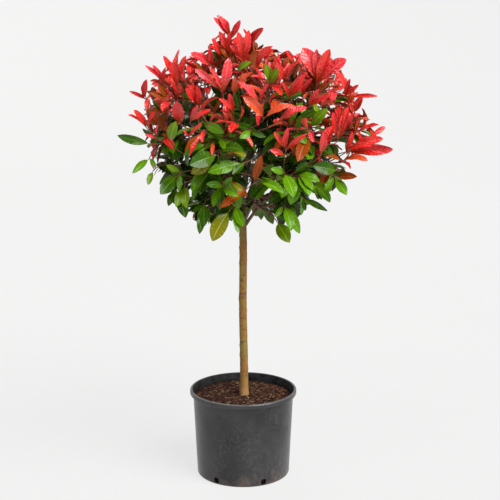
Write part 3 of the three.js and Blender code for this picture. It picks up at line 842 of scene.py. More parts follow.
# Materials
class Surface:
    # a material and short calls for its nodes; tone is the colour so far
    def __init__(self, name, colour, specular=0.5):
        self.material = bpy.data.materials.new(name)
        self.material.use_nodes = True
        self.material.diffuse_color = (*colour, 1)
        self.tree = self.material.node_tree
        self.shader = self.tree.nodes["Principled BSDF"]
        self.shader.inputs["Base Color"].default_value = (*colour, 1)
        self.shader.inputs["Specular IOR Level"].default_value = specular
        self.place = self.tree.nodes.new("ShaderNodeTexCoord").outputs["Object"]
        self.tone = colour

    def node(self, kind, **values):
        made = self.tree.nodes.new("ShaderNode" + kind)
        for name, value in values.items():
            if name in made.inputs:
                self.put(made.inputs[name], value)
            else:
                setattr(made, name, value)
        return made

    def put(self, socket, value):
        if isinstance(value, bpy.types.NodeSocket):
            self.tree.links.new(value, socket)
        else:
            socket.default_value = value

    def noise(self, scale, detail=3, rough=0.5, stretch=None):
        place = self.place
        if stretch:
            place = self.node("Mapping", Vector=place, Scale=stretch).outputs[0]
        return self.node("TexNoise", Vector=place, Scale=scale, Detail=detail, Roughness=rough).outputs["Fac"]

    def ramp(self, value, low, high, bottom=0.0, top=1.0):
        made = self.node("MapRange", Value=value)
        for socket, number in zip(("From Min", "From Max", "To Min", "To Max"), (low, high, bottom, top)):
            made.inputs[socket].default_value = number
        return made.outputs[0]

    def pattern(self, noise, span):
        return self.ramp(self.noise(*noise), *span)

    def sums(self, operation, first, second=0.0):
        made = self.node("Math", operation=operation)
        self.put(made.inputs[0], first)
        self.put(made.inputs[1], second)
        return made.outputs[0]

    def cover(self, colour, share):
        # lays a colour over the tone so far
        made = self.node("Mix", data_type="RGBA", blend_type="MIX")
        self.put(made.inputs[0], share)
        for socket, value in ((made.inputs[6], self.tone), (made.inputs[7], colour)):
            self.put(socket, (*value, 1) if isinstance(value, tuple) else value)
        self.tone = made.outputs[2]

    def finish(self, rough, height, strength, distance):
        self.put(self.shader.inputs["Base Color"], self.tone)
        self.put(self.shader.inputs["Roughness"], rough)
        bump = self.node("Bump", Height=height, Strength=strength, Distance=distance)
        self.put(self.shader.inputs["Normal"], bump.outputs[0])
        return self.material


def shade(colour, factor):
    return tuple(min(1.0, channel * factor) for channel in colour)


# Plain finishes. Each layer is a noise (scale, detail, roughness) and its span: where it starts and is full,
# and its least and greatest value. relief is the grain's strength and its depth in metres.
finishes = dict(
    under=dict(tones=((140, 4), (0.35, 0.7)), gloss=((80, 2), (0.3, 0.7, 0.45, 0.65)), grain=(500, 3),
               relief=(0.3, 0.0005), specular=0.3),
    rib=dict(tones=((160, 3), (0.35, 0.7)), gloss=((120, 2), (0.3, 0.7, 0.38, 0.55)), grain=(600, 2),
             relief=(0.2, 0.0003), specular=0.5),
    stalk=dict(tones=((40, 2), (0.35, 0.65)), gloss=((150, 2), (0.3, 0.7, 0.4, 0.6)), grain=(700, 2),
               relief=(0.3, 0.0003), specular=0.5),
    limb=dict(tones=((48, 4, 0.6), (0.36, 0.64)), gloss=((90, 3), (0.3, 0.7, 0.5, 0.72)),
              grain=(300, 4, 0.65), relief=(0.5, 0.0006), specular=0.5, fleck=(0.40, 0.27, 0.15),
              flecks=((420, 2), (0.66, 0.74, 0, 0.6))),
    # the pot's inner wall and drain holes, darker and duller as painted shade
    inside=dict(tones=((40, 4, 0.6), (0.35, 0.65)), gloss=((30, 3), (0.3, 0.7, 0.5, 0.7)), grain=(500, 3),
                relief=(0.25, 0.0006), specular=0.16),
    crumb=dict(tones=((130, 5, 0.7), (0.32, 0.66)), gloss=((200, 2), (0.3, 0.7, 0.8, 0.92)),
               grain=(520, 5, 0.75), relief=(0.9, 0.0015), specular=0.15),
)


def plainSurface(name, finish, low, high):
    look = finishes[finish]
    s = Surface(name, low, look["specular"])
    s.cover(high, s.pattern(*look["tones"]))
    if "fleck" in look:
        s.cover(look["fleck"], s.pattern(*look["flecks"]))
    return s.finish(s.pattern(*look["gloss"]), s.noise(*look["grain"]), *look["relief"])


# base colours are linear; each leaf tint has a face, an underside and a rib
leafTints = {
    "scarlet": dict(form="red", gloss=0.7, face=(0.74, 0.009, 0.009), fleck=(0.74, 0.035, 0.025),
                    under=(0.68, 0.075, 0.045), rib=(0.82, 0.11, 0.08)),
    "rose": dict(form="red", gloss=0.7, face=(0.74, 0.016, 0.032), fleck=(0.76, 0.07, 0.07),
                 under=(0.72, 0.12, 0.09), rib=(0.86, 0.17, 0.14)),
    "crimson": dict(form="red", gloss=0.7, face=(0.68, 0.006, 0.008), fleck=(0.55, 0.018, 0.014),
                    under=(0.52, 0.055, 0.028), rib=(0.66, 0.05, 0.035)),
    "coral": dict(form="red", gloss=0.7, face=(0.70, 0.050, 0.006), fleck=(0.76, 0.13, 0.05),
                  under=(0.60, 0.13, 0.045), rib=(0.78, 0.17, 0.06)),
    "bronze": dict(form="bronze", gloss=0.12, face=(0.27, 0.043, 0.001), fleck=(0.30, 0.068, 0.005),
                   under=(0.29, 0.068, 0.011), rib=(0.38, 0.11, 0.025)),
    # the next tint is a dark red that paints shade on leaves deep in the head
    "maroon": dict(form="bronze", gloss=0.12, face=(0.33, 0.015, 0.001), fleck=(0.25, 0.030, 0.006),
                   under=(0.22, 0.040, 0.010), rib=(0.28, 0.060, 0.025)),
    "green": dict(form="green", gloss=0.21, face=(0.077, 0.207, 0.001), fleck=(0.120, 0.300, 0.002),
                  under=(0.16, 0.26, 0.02), rib=(0.21, 0.37, 0.02)),
    "deep": dict(form="green", gloss=0.21, face=(0.024, 0.078, 0.001), fleck=(0.052, 0.138, 0.002),
                 under=(0.09, 0.16, 0.014), rib=(0.11, 0.21, 0.015)),
    # the next tint is a near-black green that paints shade on leaves deep in the head
    "shaded": dict(form="green", gloss=0.12, face=(0.006, 0.019, 0.001), fleck=(0.012, 0.034, 0.001),
                   under=(0.022, 0.044, 0.004), rib=(0.050, 0.090, 0.010)),
    "lime": dict(form="green", gloss=0.21, face=(0.125, 0.225, 0.001), fleck=(0.17, 0.30, 0.004),
                 under=(0.21, 0.31, 0.025), rib=(0.36, 0.49, 0.05)),
    "olive": dict(form="green", gloss=0.21, face=(0.17, 0.175, 0.003), fleck=(0.30, 0.21, 0.006),
                  under=(0.29, 0.28, 0.04), rib=(0.46, 0.42, 0.07)),
}
# mottling a centimetre across, a slow drift of tone through the head, an older tone at the foot, and a darker
# margin; foot and margin are spans along and across the blade
leafFinish = dict(mottle=((95, 4, 0.6), (0.4, 0.7, 0, 0.28)), drift=((11, 2), (0.35, 0.65, 0, 0.25)),
                  driftShade=0.72, foot=(0.05, 0.5, 0.6, 0), redFoot=(0.40, 0.085, 0.005),
                  greenFoot=(0.10, 0.20, 0.002), margin=(0.36, 0.5, 0, 0.45), marginShade=0.5,
                  gloss=((60, 2), (0.3, 0.7, 0.13, 0.3)), veins=9.0, veinSlope=2.6, veinSharpness=3.0,
                  redVeins=0.7, greenVeins=0.15, veinDepth=0.0011, grain=(420, 3), grainShare=0.15,
                  underShade=0.7, ribShade=0.75, stalk=(0.24, 0.045, 0.025), stalkTip=(0.34, 0.13, 0.035))


def leafFace(name, tint):
    look = leafFinish
    kind = "green" if tint["form"] == "green" else "red"
    s = Surface(name, tint["face"], tint["gloss"])
    parts = s.node("SeparateXYZ", Vector=s.node("UVMap", uv_map="bladeUv").outputs[0])
    fromFoot, across = parts.outputs[0], parts.outputs[1]
    fromRib = s.sums("ABSOLUTE", s.sums("SUBTRACT", across, 0.5))
    s.cover(tint["fleck"], s.pattern(*look["mottle"]))
    s.cover(shade(tint["face"], look["driftShade"]), s.pattern(*look["drift"]))
    s.cover(look[kind + "Foot"], s.ramp(fromFoot, *look["foot"]))
    s.cover(shade(tint["face"], look["marginShade"]), s.ramp(fromRib, *look["margin"]))
    # side veins: lines that leave the rib and run forward to the margin
    phase = s.sums("SUBTRACT", s.sums("MULTIPLY", fromFoot, look["veins"]),
                   s.sums("MULTIPLY", fromRib, look["veinSlope"]))
    wave = s.sums("SINE", s.sums("MULTIPLY", phase, 2 * math.pi))
    groove = s.sums("POWER", s.ramp(wave, -1, 1), look["veinSharpness"])
    relief = s.sums("SUBTRACT", s.sums("MULTIPLY", s.noise(*look["grain"]), look["grainShare"]), groove)
    return s.finish(s.pattern(*look["gloss"]), relief, look[kind + "Veins"], look["veinDepth"])


# the stem's tones; the dark tone for where it runs into the head is painted shade
barkLooks = dict(olive=(0.172, 0.122, 0.024), tan=(0.275, 0.190, 0.046), orange=(0.27, 0.118, 0.026),
                 shadow=(0.085, 0.055, 0.028), green=(0.180, 0.148, 0.022), foot=(0.35, 0.185, 0.070),
                 paintedShadeInHead=(0.075, 0.046, 0.020), corkShade=1.5, specular=0.25)
# a noise may end with its stretch; the foot's span and the span of the painted shade inside the head are of
# height in metres
barkLayers = dict(streak=(60, 5, 0.65, (1, 1, 0.16)), tan=(0.36, 0.66), rough=(0.3, 0.7, 0.62, 0.85),
                  orange=((16, 3, 0.5, (1, 1, 0.5)), (0.48, 0.57)),
                  green=((22, 2, 0.5, (1, 1, 0.35)), (0.56, 0.7, 0, 0.7)),
                  cork=((260, 3, 0.6, (0.5, 0.5, 1.6)), (0.62, 0.72, 0, 0.8)),
                  crease=((190, 4, 0.7, (1, 1, 0.5)), (0.36, 0.47, 0.8, 0)),
                  rings=((75, 4, 0.7, (0.4, 0.4, 1)), (0.58, 0.68, 0, 0.7)),
                  foot=(0.265, 0.225, 0, 0.8), paintedShadeInHead=(0.665, 0.715),
                  grain=(170, 5, 0.7, (1, 1, 0.3)), corkHeight=0.6, relief=(0.8, 0.0014))


def trunkSurface():
    look, layers = barkLooks, barkLayers
    s = Surface("trunk_bark", look["olive"], look["specular"])
    streak = s.noise(*layers["streak"])
    s.cover(look["tan"], s.ramp(streak, *layers["tan"]))
    for part in ("orange", "green"):
        s.cover(look[part], s.pattern(*layers[part]))
    # corky flecks across the stem, creases darkened with painted shade, and lines part of the way round where
    # leaves once stood, darkened with the same painted shade
    cork = s.pattern(*layers["cork"])
    s.cover(shade(look["tan"], look["corkShade"]), cork)
    s.cover(look["shadow"], s.pattern(*layers["crease"]))
    rings = s.pattern(*layers["rings"])
    s.cover(look["shadow"], rings)
    height = s.node("SeparateXYZ", Vector=s.place).outputs[2]
    # a paler foot, and painted shade where the stem is inside the head
    for part in ("foot", "paintedShadeInHead"):
        s.cover(look[part], s.ramp(height, *layers[part]))
    raised = s.sums("ADD", s.noise(*layers["grain"]), s.sums("MULTIPLY", cork, layers["corkHeight"]))
    return s.finish(s.ramp(streak, *layers["rough"]), s.sums("SUBTRACT", raised, rings), *layers["relief"])


# the inside tone is painted shade for the pot's inner wall and drain holes
potLooks = dict(base=(0.0045, 0.0045, 0.0052), pale=(0.024, 0.024, 0.025), scuff=(0.11, 0.11, 0.115),
                bloom=(0.065, 0.065, 0.068), dust=(0.15, 0.10, 0.068), inside=(0.0035, 0.0038, 0.0048),
                # the next tone, a pale line on the rim's top edge, is a painted highlight
                paintedRimHighlight=(0.10, 0.10, 0.10), specular=0.47)
potLayers = dict(pale=((9, 4, 0.6), (0.35, 0.65)),
                 bloom=((110, 5, 0.7), (0.46, 0.66, 0, 0.5)), bloomPatch=((13, 2), (0.4, 0.6)),
                 scuff=((130, 6, 0.75, (1, 1, 0.3)), (0.63, 0.76, 0, 0.55)),
                 speck=((900, 1), (0.70, 0.76, 0, 0.6)),
                 dust=((28, 5, 0.7), (0.42, 0.68, 0, 0.42)), dustHeights=(0.045, 0.0),
                 # the rim's pale top line is a painted highlight
                 paintedRimHighlight=((45, 4, 0.7), (0.3, 0.6, 0.3, 1)), paintedRimHighlightHeights=(0.2255, 0.227, 0, 0.8),
                 gloss=((14, 4), (0.3, 0.7, 0.24, 0.36)), scuffRough=0.3,
                 grain=(700, 3), dents=(24, 2, 0.5, (1, 1, 0.2)), dentHeight=2.0, relief=(0.25, 0.0006))


def potSurface():
    look, layers = potLooks, potLayers
    s = Surface("pot_plastic", look["base"], look["specular"])
    s.cover(look["pale"], s.pattern(*layers["pale"]))
    # dried dust in patches a few millimetres across
    s.cover(look["bloom"], s.sums("MULTIPLY", s.pattern(*layers["bloom"]), s.pattern(*layers["bloomPatch"])))
    scuff = s.pattern(*layers["scuff"])
    s.cover(look["scuff"], scuff)
    s.cover(look["scuff"], s.pattern(*layers["speck"]))
    # dust low down, and a pale line on the rim's top edge: a painted highlight
    height = s.node("SeparateXYZ", Vector=s.place).outputs[2]
    for part in ("dust", "paintedRimHighlight"):
        band = s.ramp(height, *layers[part + "Heights"])
        s.cover(look[part], s.sums("MULTIPLY", band, s.pattern(*layers[part])))
    rough = s.sums("ADD", s.pattern(*layers["gloss"]), s.sums("MULTIPLY", scuff, layers["scuffRough"]))
    dents = s.sums("MULTIPLY", s.noise(*layers["dents"]), layers["dentHeight"])
    return s.finish(rough, s.sums("ADD", s.noise(*layers["grain"]), dents), *layers["relief"])


# each tint takes three slots, for the face, the underside and the rib
leafMaterials, tintSlots = [], {}
for tintName, tint in leafTints.items():
    tintSlots[tintName] = len(leafMaterials)
    leafMaterials.append(leafFace("leaf_" + tintName, tint))
    for part in ("under", "rib"):
        darker = shade(tint[part], leafFinish[part + "Shade"])
        leafMaterials.append(plainSurface(f"leaf_{tintName}_{part}", part, tint[part], darker))
stalkSlot = len(leafMaterials)
leafMaterials.append(plainSurface("leaf_stalk", "stalk", leafFinish["stalk"], leafFinish["stalkTip"]))
print("materials made:", len(leafMaterials), "for the leaves")


# Leaves
# recurve is the bend from foot to tip, fold the lift of each half, all in degrees; the rest are shares
leafForms = {
    "red": dict(shape=(0.27, 0.35), recurve=(20, 62), fold=(22, 46), twist=30, quilt=0.030, wave=0.022,
                footPower=1.08, tipPower=0.74, stalk=0.09),
    "bronze": dict(shape=(0.34, 0.41), recurve=(16, 50), fold=(10, 28), twist=22, quilt=0.014, wave=0.016,
                   footPower=1.0, tipPower=0.84, stalk=0.1),
    "green": dict(shape=(0.40, 0.48), recurve=(14, 60), fold=(6, 32), twist=26, quilt=0.015, wave=0.014,
                  footPower=1.0, tipPower=0.88, stalk=0.11),
}
# top and under are the points across the blade, from margin to margin; the rib is one strip of the top
blade = dict(rows=15, top=(-1, -0.9, -0.48, -0.05, 0.05, 0.48, 0.9, 1), ribStrip=3,
             under=(-1, -0.9, -0.48, 0, 0.48, 0.9, 1), bendSteps=25, bendMiddle=0.45, bendPower=1.4,
             skew=0.24, footWidth=0.02, footFold=1.2, foldLoss=0.5, sway=0.05, cup=0.25, swell=6, edge=5,
             waves=14, waveShift=1.3, thickness=0.6, keel=0.7)
# the stalk's radii, where its middle and end lie, and how far it is sunk in the twig and set below the blade
stalk = dict(radii=(1.15, 0.8, 0.5), middle=0.6, pastFoot=0.08, sunk=1.2, below=0.5)
rowShares = np.linspace(0, 1, blade["rows"] + 1)
rowSides = np.where(np.arange(len(rowShares)) % 2, 1.0, -1.0)[:, None]
topQuads = gridQuads(len(rowShares), len(blade["top"]))
underQuads = gridQuads(len(rowShares), len(blade["under"]), flip=True)
topIsRib = np.tile(np.arange(len(blade["top"]) - 1), blade["rows"]) == blade["ribStrip"]
stalkQuads = gridQuads(3, 4, closed=True, flip=True)


def addLeaf(pile, leaf, tint, draw):
    form = leafForms[leafTints[tint]["form"]]
    length = leaf.length
    half = length * between(form["shape"], draw) / 2 * leaf.wide
    fold = math.radians(between(form["fold"], draw))
    twist = math.radians(form["twist"]) * (2 * draw() - 1)
    wavePhase = draw() * 2 * math.pi
    sway = blade["sway"] * (2 * draw() - 1)
    cup = blade["cup"] * draw()
    # the rib: it leaves above the leaf's axis and bends down past it, ending on the axis
    at = np.linspace(0, 1, blade["bendSteps"])
    tilt = math.radians(between(form["recurve"], draw)) * (blade["bendMiddle"] - at ** blade["bendPower"])
    middle = (tilt[1:] + tilt[:-1]) / 2
    forward = np.concatenate(([0], np.cumsum(np.cos(middle))))
    lift = np.concatenate(([0], np.cumsum(np.sin(middle))))
    chordTilt = math.atan2(lift[-1], forward[-1])
    size = length / math.hypot(lift[-1], forward[-1])
    cosine, sine = math.cos(chordTilt) * size, math.sin(chordTilt) * size
    forward, lift = forward * cosine + lift * sine, lift * cosine - forward * sine
    tilt = tilt - chordTilt

    def surface(lines, under):
        # t runs across the blade from -1 to 1, b along it from foot to tip
        t = np.array(lines)[None, :]
        b = rowShares[:, None] + blade["skew"] * np.abs(t) * (rowShares * (1 - rowShares))[:, None]
        b = np.clip(b, 0, 1)
        foots, tips = form["footPower"], form["tipPower"]
        peak = foots / (foots + tips)
        full = b ** foots * (1 - b) ** tips / (peak ** foots * (1 - peak) ** tips)
        width = half * mix(full, 1, blade["footWidth"])
        sideways = t * width * math.cos(fold)
        height = np.abs(t) * width * math.sin(fold) * (blade["footFold"] - blade["foldLoss"] * b)
        height = height - cup * t * t * width * b
        # the blade swells between its side veins and waves at its margin
        swell = np.abs(t) * (1 - np.abs(t)) * 2 * np.minimum(1, blade["swell"] * b * (1 - b))
        height = height + form["quilt"] * length * rowSides * swell
        edge = np.abs(t) ** 3 * np.minimum(1, blade["edge"] * b * (1 - b))
        wave = np.sin(blade["waves"] * b + wavePhase + np.sign(t) * blade["waveShift"])
        height = height + form["wave"] * length * edge * wave
        if under:
            height = height - (1 - t * t) * blade["thickness"] - (t == 0) * blade["keel"] * (1 - b)
        turn = twist * b
        sideways, height = (sideways * np.cos(turn) - height * np.sin(turn),
                            sideways * np.sin(turn) + height * np.cos(turn))
        x, y, a = (np.interp(mix(form["stalk"], 1, b), at, values) for values in (forward, lift, tilt))
        points = (leaf.foot + leaf.along * (x - height * np.sin(a))[..., None]
                  + leaf.face * (y + height * np.cos(a))[..., None]
                  + leaf.across * (sideways + sway * length * b * b)[..., None])
        return points, np.stack((b + 0 * t, (t + 1) / 2 + 0 * b), -1)

    slot = tintSlots[tint]
    points, uvs = surface(blade["top"], False)
    pile.add(points, topQuads, np.where(topIsRib, slot + 2, slot), uvs)
    points, uvs = surface(blade["under"], True)
    pile.add(points, underQuads, slot + 1, uvs)
    # the stalk runs from inside the twig to a little way under the blade
    rings = []
    shares = (0, form["stalk"] * stalk["middle"], form["stalk"] + stalk["pastFoot"])
    for share, sunk, radius in zip(shares, (stalk["sunk"], 0, 0), stalk["radii"]):
        x, y = np.interp(share, at, forward) - sunk, np.interp(share, at, lift) - stalk["below"]
        for angle in anglesOf(4) + math.pi / 4:
            out = swing(leaf.across, leaf.face, angle) * radius
            rings.append(leaf.foot + leaf.along * x + leaf.face * y + out)
    pile.add(rings, stalkQuads, stalkSlot)


# how red the head is by the height of a spray's tip, and what its outer right and left add; sprays nearer the
# middle than shadeWithin take darker tints as painted shade
redHead = dict(heights=(800, 860, 905, 940, 975, 1000), shares=(0.05, 0.18, 0.52, 0.9, 1, 1), inner=0.55,
               rightFrom=190, right=0.8, leftFrom=-190, left=0.35, skin=(0.6, 0.85), skinShares=(0.12, 1),
               top=(960, 1000), topShare=0.96, shadeWithin=0.7)
# the inner families hold darker tints that paint shade on sprays deep in the head
sprayTints = dict(red=(("scarlet", 0.40), ("rose", 0.18), ("crimson", 0.30), ("coral", 0.12)),
                  innerRed=(("crimson", 0.27), ("maroon", 0.42), ("bronze", 0.31)),
                  green=(("green", 0.46), ("deep", 0.47), ("lime", 0.04), ("olive", 0.03)),
                  innerGreen=(("shaded", 0.6), ("deep", 0.4)))
redFamilies = ("red", "innerRed")
# the share of a spray in its own tint, and how its oldest leaves turn: from which age, by height, into what
sprayRule = dict(own=0.6, oldFrom=0.7, oldHeights=(950, 1020), oldShares=(0.42, 0.12), oldBronze=0.35,
                 strayBronze=0.03)
# the tint that a few leaves of the shown shoots take instead of their own
shownTints = dict(scarlet="crimson", rose="scarlet", crimson="scarlet", coral="bronze", bronze="coral",
                  green="deep", deep="green", lime="green", olive="lime")
shownChange = 0.1
# young red leaves stand up more than the rule's: each is lifted as far as it finds room
upright = dict(lifts=(0.75, 0.5, 0.28), share=0.85)


def pick(weights, draw):
    left = draw() * sum(weight for _, weight in weights)
    for name, weight in weights:
        left -= weight
        if left <= 0:
            break
    return name


def liftLeaf(leaf, mass):
    rest = [other for other in mass.placed if other is not leaf]
    for lift in upright["lifts"]:
        along = unit(leaf.along + up * lift)
        lifted = leafOf(leaf.root, along, squareTo(leaf.face, along), leaf.length)
        if inReach(lifted) and leafFits(lifted, mass.index, rest, mass.twigLines) and seenWell(lifted):
            vars(leaf).update(vars(lifted))
            return


def tintOf(leaf, family, own, draw):
    # one spray has its own tint; a few of its leaves take another, and the oldest turn green or bronze
    rule = sprayRule
    tint = own if draw() < rule["own"] else pick(sprayTints[family], draw)
    if family in redFamilies and leaf.age > rule["oldFrom"]:
        if draw() < np.interp(leaf.root[2], rule["oldHeights"], rule["oldShares"]):
            tint = "bronze" if draw() < rule["oldBronze"] else "green" if family == "red" else "deep"
    if family == "green" and draw() < rule["strayBronze"]:
        tint = "bronze"
    if leaf.tint:
        tint = shownTints[leaf.tint] if draw() < shownChange else leaf.tint
    return tint


def redChance(path, tierName):
    # young growth is red at the outside of the head, and what stands behind it is green
    if path.isShown:
        return 1.0 if leafTints[path.leaves[0].tint]["form"] == "red" else 0.0
    x, _, z = path.pointAt(1)
    chance = np.interp(z, redHead["heights"], redHead["shares"])
    chance *= np.interp(outness(path.pointAt(1)), redHead["skin"], redHead["skinShares"])
    chance = max(chance, np.interp(z, redHead["top"], (0, redHead["topShare"])))
    if tierName == "inner":
        chance *= redHead["inner"]
    if z > redHead["heights"][0]:
        chance += redHead["right"] * (x > redHead["rightFrom"]) + redHead["left"] * (x < redHead["leftFrom"])
    return chance


def dressTier(tierName):
    piles = {"red": Pile(), "green": Pile()}
    names = [mass.name for mass in masses[tierName]]
    # the inner tier's green sprays take the darker tints of painted shade
    greens = "innerGreen" if tierName == "inner" else "green"
    for mass in masses[tierName]:
        draw = seededRandom(seed + seedSteps["spray"] * mass.index + seedSteps["firstSpray"])
        for path in mass.shown + mass.shoots + mass.sideTwigs:
            path.family = "red" if draw() < redChance(path, tierName) else greens
            # sprays deep in the head take darker tints, as painted shade
            if outness(path.pointAt(1)) < redHead["shadeWithin"]:
                path.family = "innerRed" if path.family == "red" else "innerGreen"
            for leaf in path.leaves + path.flush:
                if path.family in redFamilies and draw() < upright["share"] and not leaf.tint:
                    liftLeaf(leaf, mass)
            own = pick(sprayTints[path.family], draw)
            for leaf in path.leaves + path.flush:
                tint = tintOf(leaf, path.family, own, draw)
                addLeaf(piles["green" if leafTints[tint]["form"] == "green" else "red"], leaf, tint, draw)
    for family, pile in piles.items():
        if pile.count:
            pile.piece(f"leaves_{tierName}_{family}", leafMaterials, "leaf_" + family, names)


print("leaves:")
for tierName in tiers:
    dressTier(tierName)


# Twigs, boughs and trunk
twigLooks = dict(sides=6, stem=(2.5, 1.8), shoot=(1.8, 1.1), side=(1.3, 0.75), spacing=7, fewest=4,
                 knuckle=0.35, knuckles=(0.6, 0.3), stemBack=2.0, low=(0.11, 0.045, 0.028),
                 high=(0.22, 0.10, 0.045), young=(0.30, 0.075, 0.045))
limbLooks = dict(sides=14, spacing=3.5, round=1.6, along=0.22, grain=0.32, ring=0.45, ringEvery=8,
                 ringWidth=0.9, swell=0.22, swellLength=9, low=(0.080, 0.048, 0.024),
                 high=(0.17, 0.105, 0.048))


def addTwig(pile, path, radii, slot, back=0.0):
    count = max(twigLooks["fewest"], math.ceil(path.reach / twigLooks["spacing"])) + 1
    last = max((leaf.share for leaf in path.leaves + path.flush), default=1)
    shares = np.linspace(0, last, count)
    points = np.array([path.curveAt(t) for t in shares])
    points[0] = points[0] - path.tangentAt(0) * back
    # a small knuckle at every other ring, where leaves were
    knuckles = np.where(np.arange(count) % 2, 0.0, twigLooks["knuckle"]) * mix(*twigLooks["knuckles"], shares)
    addTube(pile, points, mix(*radii, shares) + knuckles, twigLooks["sides"], slot)


def addLimb(pile, limb):
    look = limbLooks
    count = math.ceil(limb.reach / look["spacing"]) + 1
    shares = np.linspace(0, 1, count)
    points = np.array([limb.pointAt(t) for t in shares])
    # each limb takes its grain from another place in the noise
    offset = len(limb.name) * 3.1 + points[-1][0] * 0.01
    relief = np.zeros((count, look["sides"]))
    for i in range(count):
        for j, angle in enumerate(anglesOf(look["sides"])):
            spot = Vector((math.cos(angle) * look["round"], math.sin(angle) * look["round"],
                           i * look["along"] + offset))
            relief[i, j] = look["grain"] * noise.noise(spot)
    # rings where earlier leaves stood, and a thick foot
    fromRing = np.arange(count) % look["ringEvery"] - look["ringEvery"] / 2
    rings = look["ring"] * np.exp(-(fromRing / look["ringWidth"]) ** 2)
    swell = limb.kind["base"] * look["swell"] * np.exp(-shares * limb.reach / look["swellLength"])
    radii = np.array([limb.radiusAt(t) for t in shares]) + rings + swell
    addTube(pile, points, radii, look["sides"], 0, relief)


print("wood:")
twigPile = Pile()
for mass in allMasses:
    addTwig(twigPile, mass.stem, twigLooks["stem"], 0, twigLooks["stemBack"])
    for kind, paths in (("shoot", mass.shown + mass.shoots), ("side", mass.sideTwigs)):
        for path in paths:
            if path.leaves + path.flush:
                addTwig(twigPile, path, twigLooks[kind], 1 if path.family in redFamilies else 0)
twigPile.piece("twigs", [plainSurface("twig_bark", "limb", twigLooks["low"], twigLooks["high"]),
                         plainSurface("young_twig_bark", "limb", twigLooks["low"], twigLooks["young"])],
               "twig", [mass.name for mass in allMasses])

limbPile = Pile()
for limb in limbs:
    addLimb(limbPile, limb)
limbPile.piece("bough_bark", [plainSurface("limb_bark", "limb", limbLooks["low"], limbLooks["high"])], "twig",
               [limb.name for limb in limbs])

# the bark's relief in millimetres: long and fine grain (scale round and along the stem, shift, height), leaf
# rings, the healed scars of side shoots, and lobes at the foot
trunkRelief = dict(sides=44, spacing=1.7, start=-3, grain=((2.2, 0.035, 0, 0.42), (6, 0.16, 9, 0.231)),
                   ring=0.6, firstRing=26, ringSpacing=31, ringLean=3, ringPart=(0.55, 0.45), ringWidth=1.8,
                   ringGap=(0.75, 0.5), knots=22, knot=1.3, firstKnot=15, knotRadius=4.0, dimple=0.6,
                   dimpleRadius=1.5, knotSquash=0.8, lobes=3, lobe=0.9, lobeTurn=0.6, lobeHeight=16)


def makeTrunk():
    look = trunkRelief
    draw = seededRandom(seed + seedSteps["trunk"])
    heights = np.arange(trunk["foot"] + look["start"], trunk["top"] + 0.1, look["spacing"])
    angle = anglesOf(look["sides"])
    aboveFoot = heights[:, None] - trunk["foot"]
    relief = np.zeros((len(heights), look["sides"]))
    for i, z in enumerate(heights):
        for j, turn in enumerate(angle):
            x, y = math.cos(turn), math.sin(turn)
            for across, along, shift, height in look["grain"]:
                relief[i, j] += height * noise.noise(Vector((x * across, y * across, z * along + shift)))
    # each leaf ring is a raised step part of the way round
    z = trunk["foot"] + look["firstRing"]
    while z < trunk["top"]:
        facing = np.cos(angle - draw() * 2 * math.pi)
        partly = look["ringPart"][0] + look["ringPart"][1] * facing
        fromRing = heights[:, None] - z - look["ringLean"] * facing
        relief += look["ring"] * partly * np.exp(-(fromRing / look["ringWidth"]) ** 2)
        z += look["ringSpacing"] * (look["ringGap"][0] + look["ringGap"][1] * draw())
    # each scar is a low boss with a dimple
    for _ in range(look["knots"]):
        z = mix(trunk["foot"] + look["firstKnot"], trunk["forkHeight"], draw())
        away = np.angle(np.exp(1j * (angle - draw() * 2 * math.pi))) * trunk["forkRadius"]
        reach = np.sqrt(away[None] ** 2 + ((heights[:, None] - z) * look["knotSquash"]) ** 2)
        dimple = look["dimple"] * np.exp(-(reach / look["dimpleRadius"]) ** 2)
        relief += look["knot"] * (np.exp(-(reach / look["knotRadius"]) ** 2) - dimple)
    lobes = np.cos(look["lobes"] * angle + look["lobeTurn"])[None] * np.exp(-aboveFoot / look["lobeHeight"])
    relief += look["lobe"] * lobes
    pile = Pile()
    points = np.array([trunkPoint(z) for z in heights])
    radii = np.array([trunkRadius(max(z, trunk["foot"])) for z in heights])
    addTube(pile, points, radii, look["sides"], 0, relief)
    pile.piece("trunk_stem_bark", [trunkSurface()], "bark", ["trunk"])


makeTrunk()

# Pot
pot = dict(height=228, rimRadius=140, rimHeight=12, rimWidth=7, rimRound=3, neckRadius=131.5,
           footRadius=121.6, footRound=4, footRing=16, ringWidth=4, recess=(4.0, 3.6, 3.2), recessMiddle=60,
           wall=2.4, floorTop=6.6, floorEdge=7, lip=2.0, innerRound=1.4, centre=0.5, outsideRows=12,
           insideRows=10, sides=144)
drain = dict(count=6, width=14.5, height=15, sill=3.5, firstTurn=-124.5, corner=4, through=(110, 140),
             sharpFrom=50)


def wallRadius(z):
    rise = (z - pot["footRound"]) / (pot["height"] - pot["rimHeight"] - pot["footRound"])
    return mix(pot["footRadius"], pot["neckRadius"], rise)


def rounded(centreR, centreZ, radius, start, end, count=6):
    angles = np.radians(np.linspace(start, end, count + 1))
    return [(centreR + radius * math.cos(a), centreZ + radius * math.sin(a)) for a in angles]


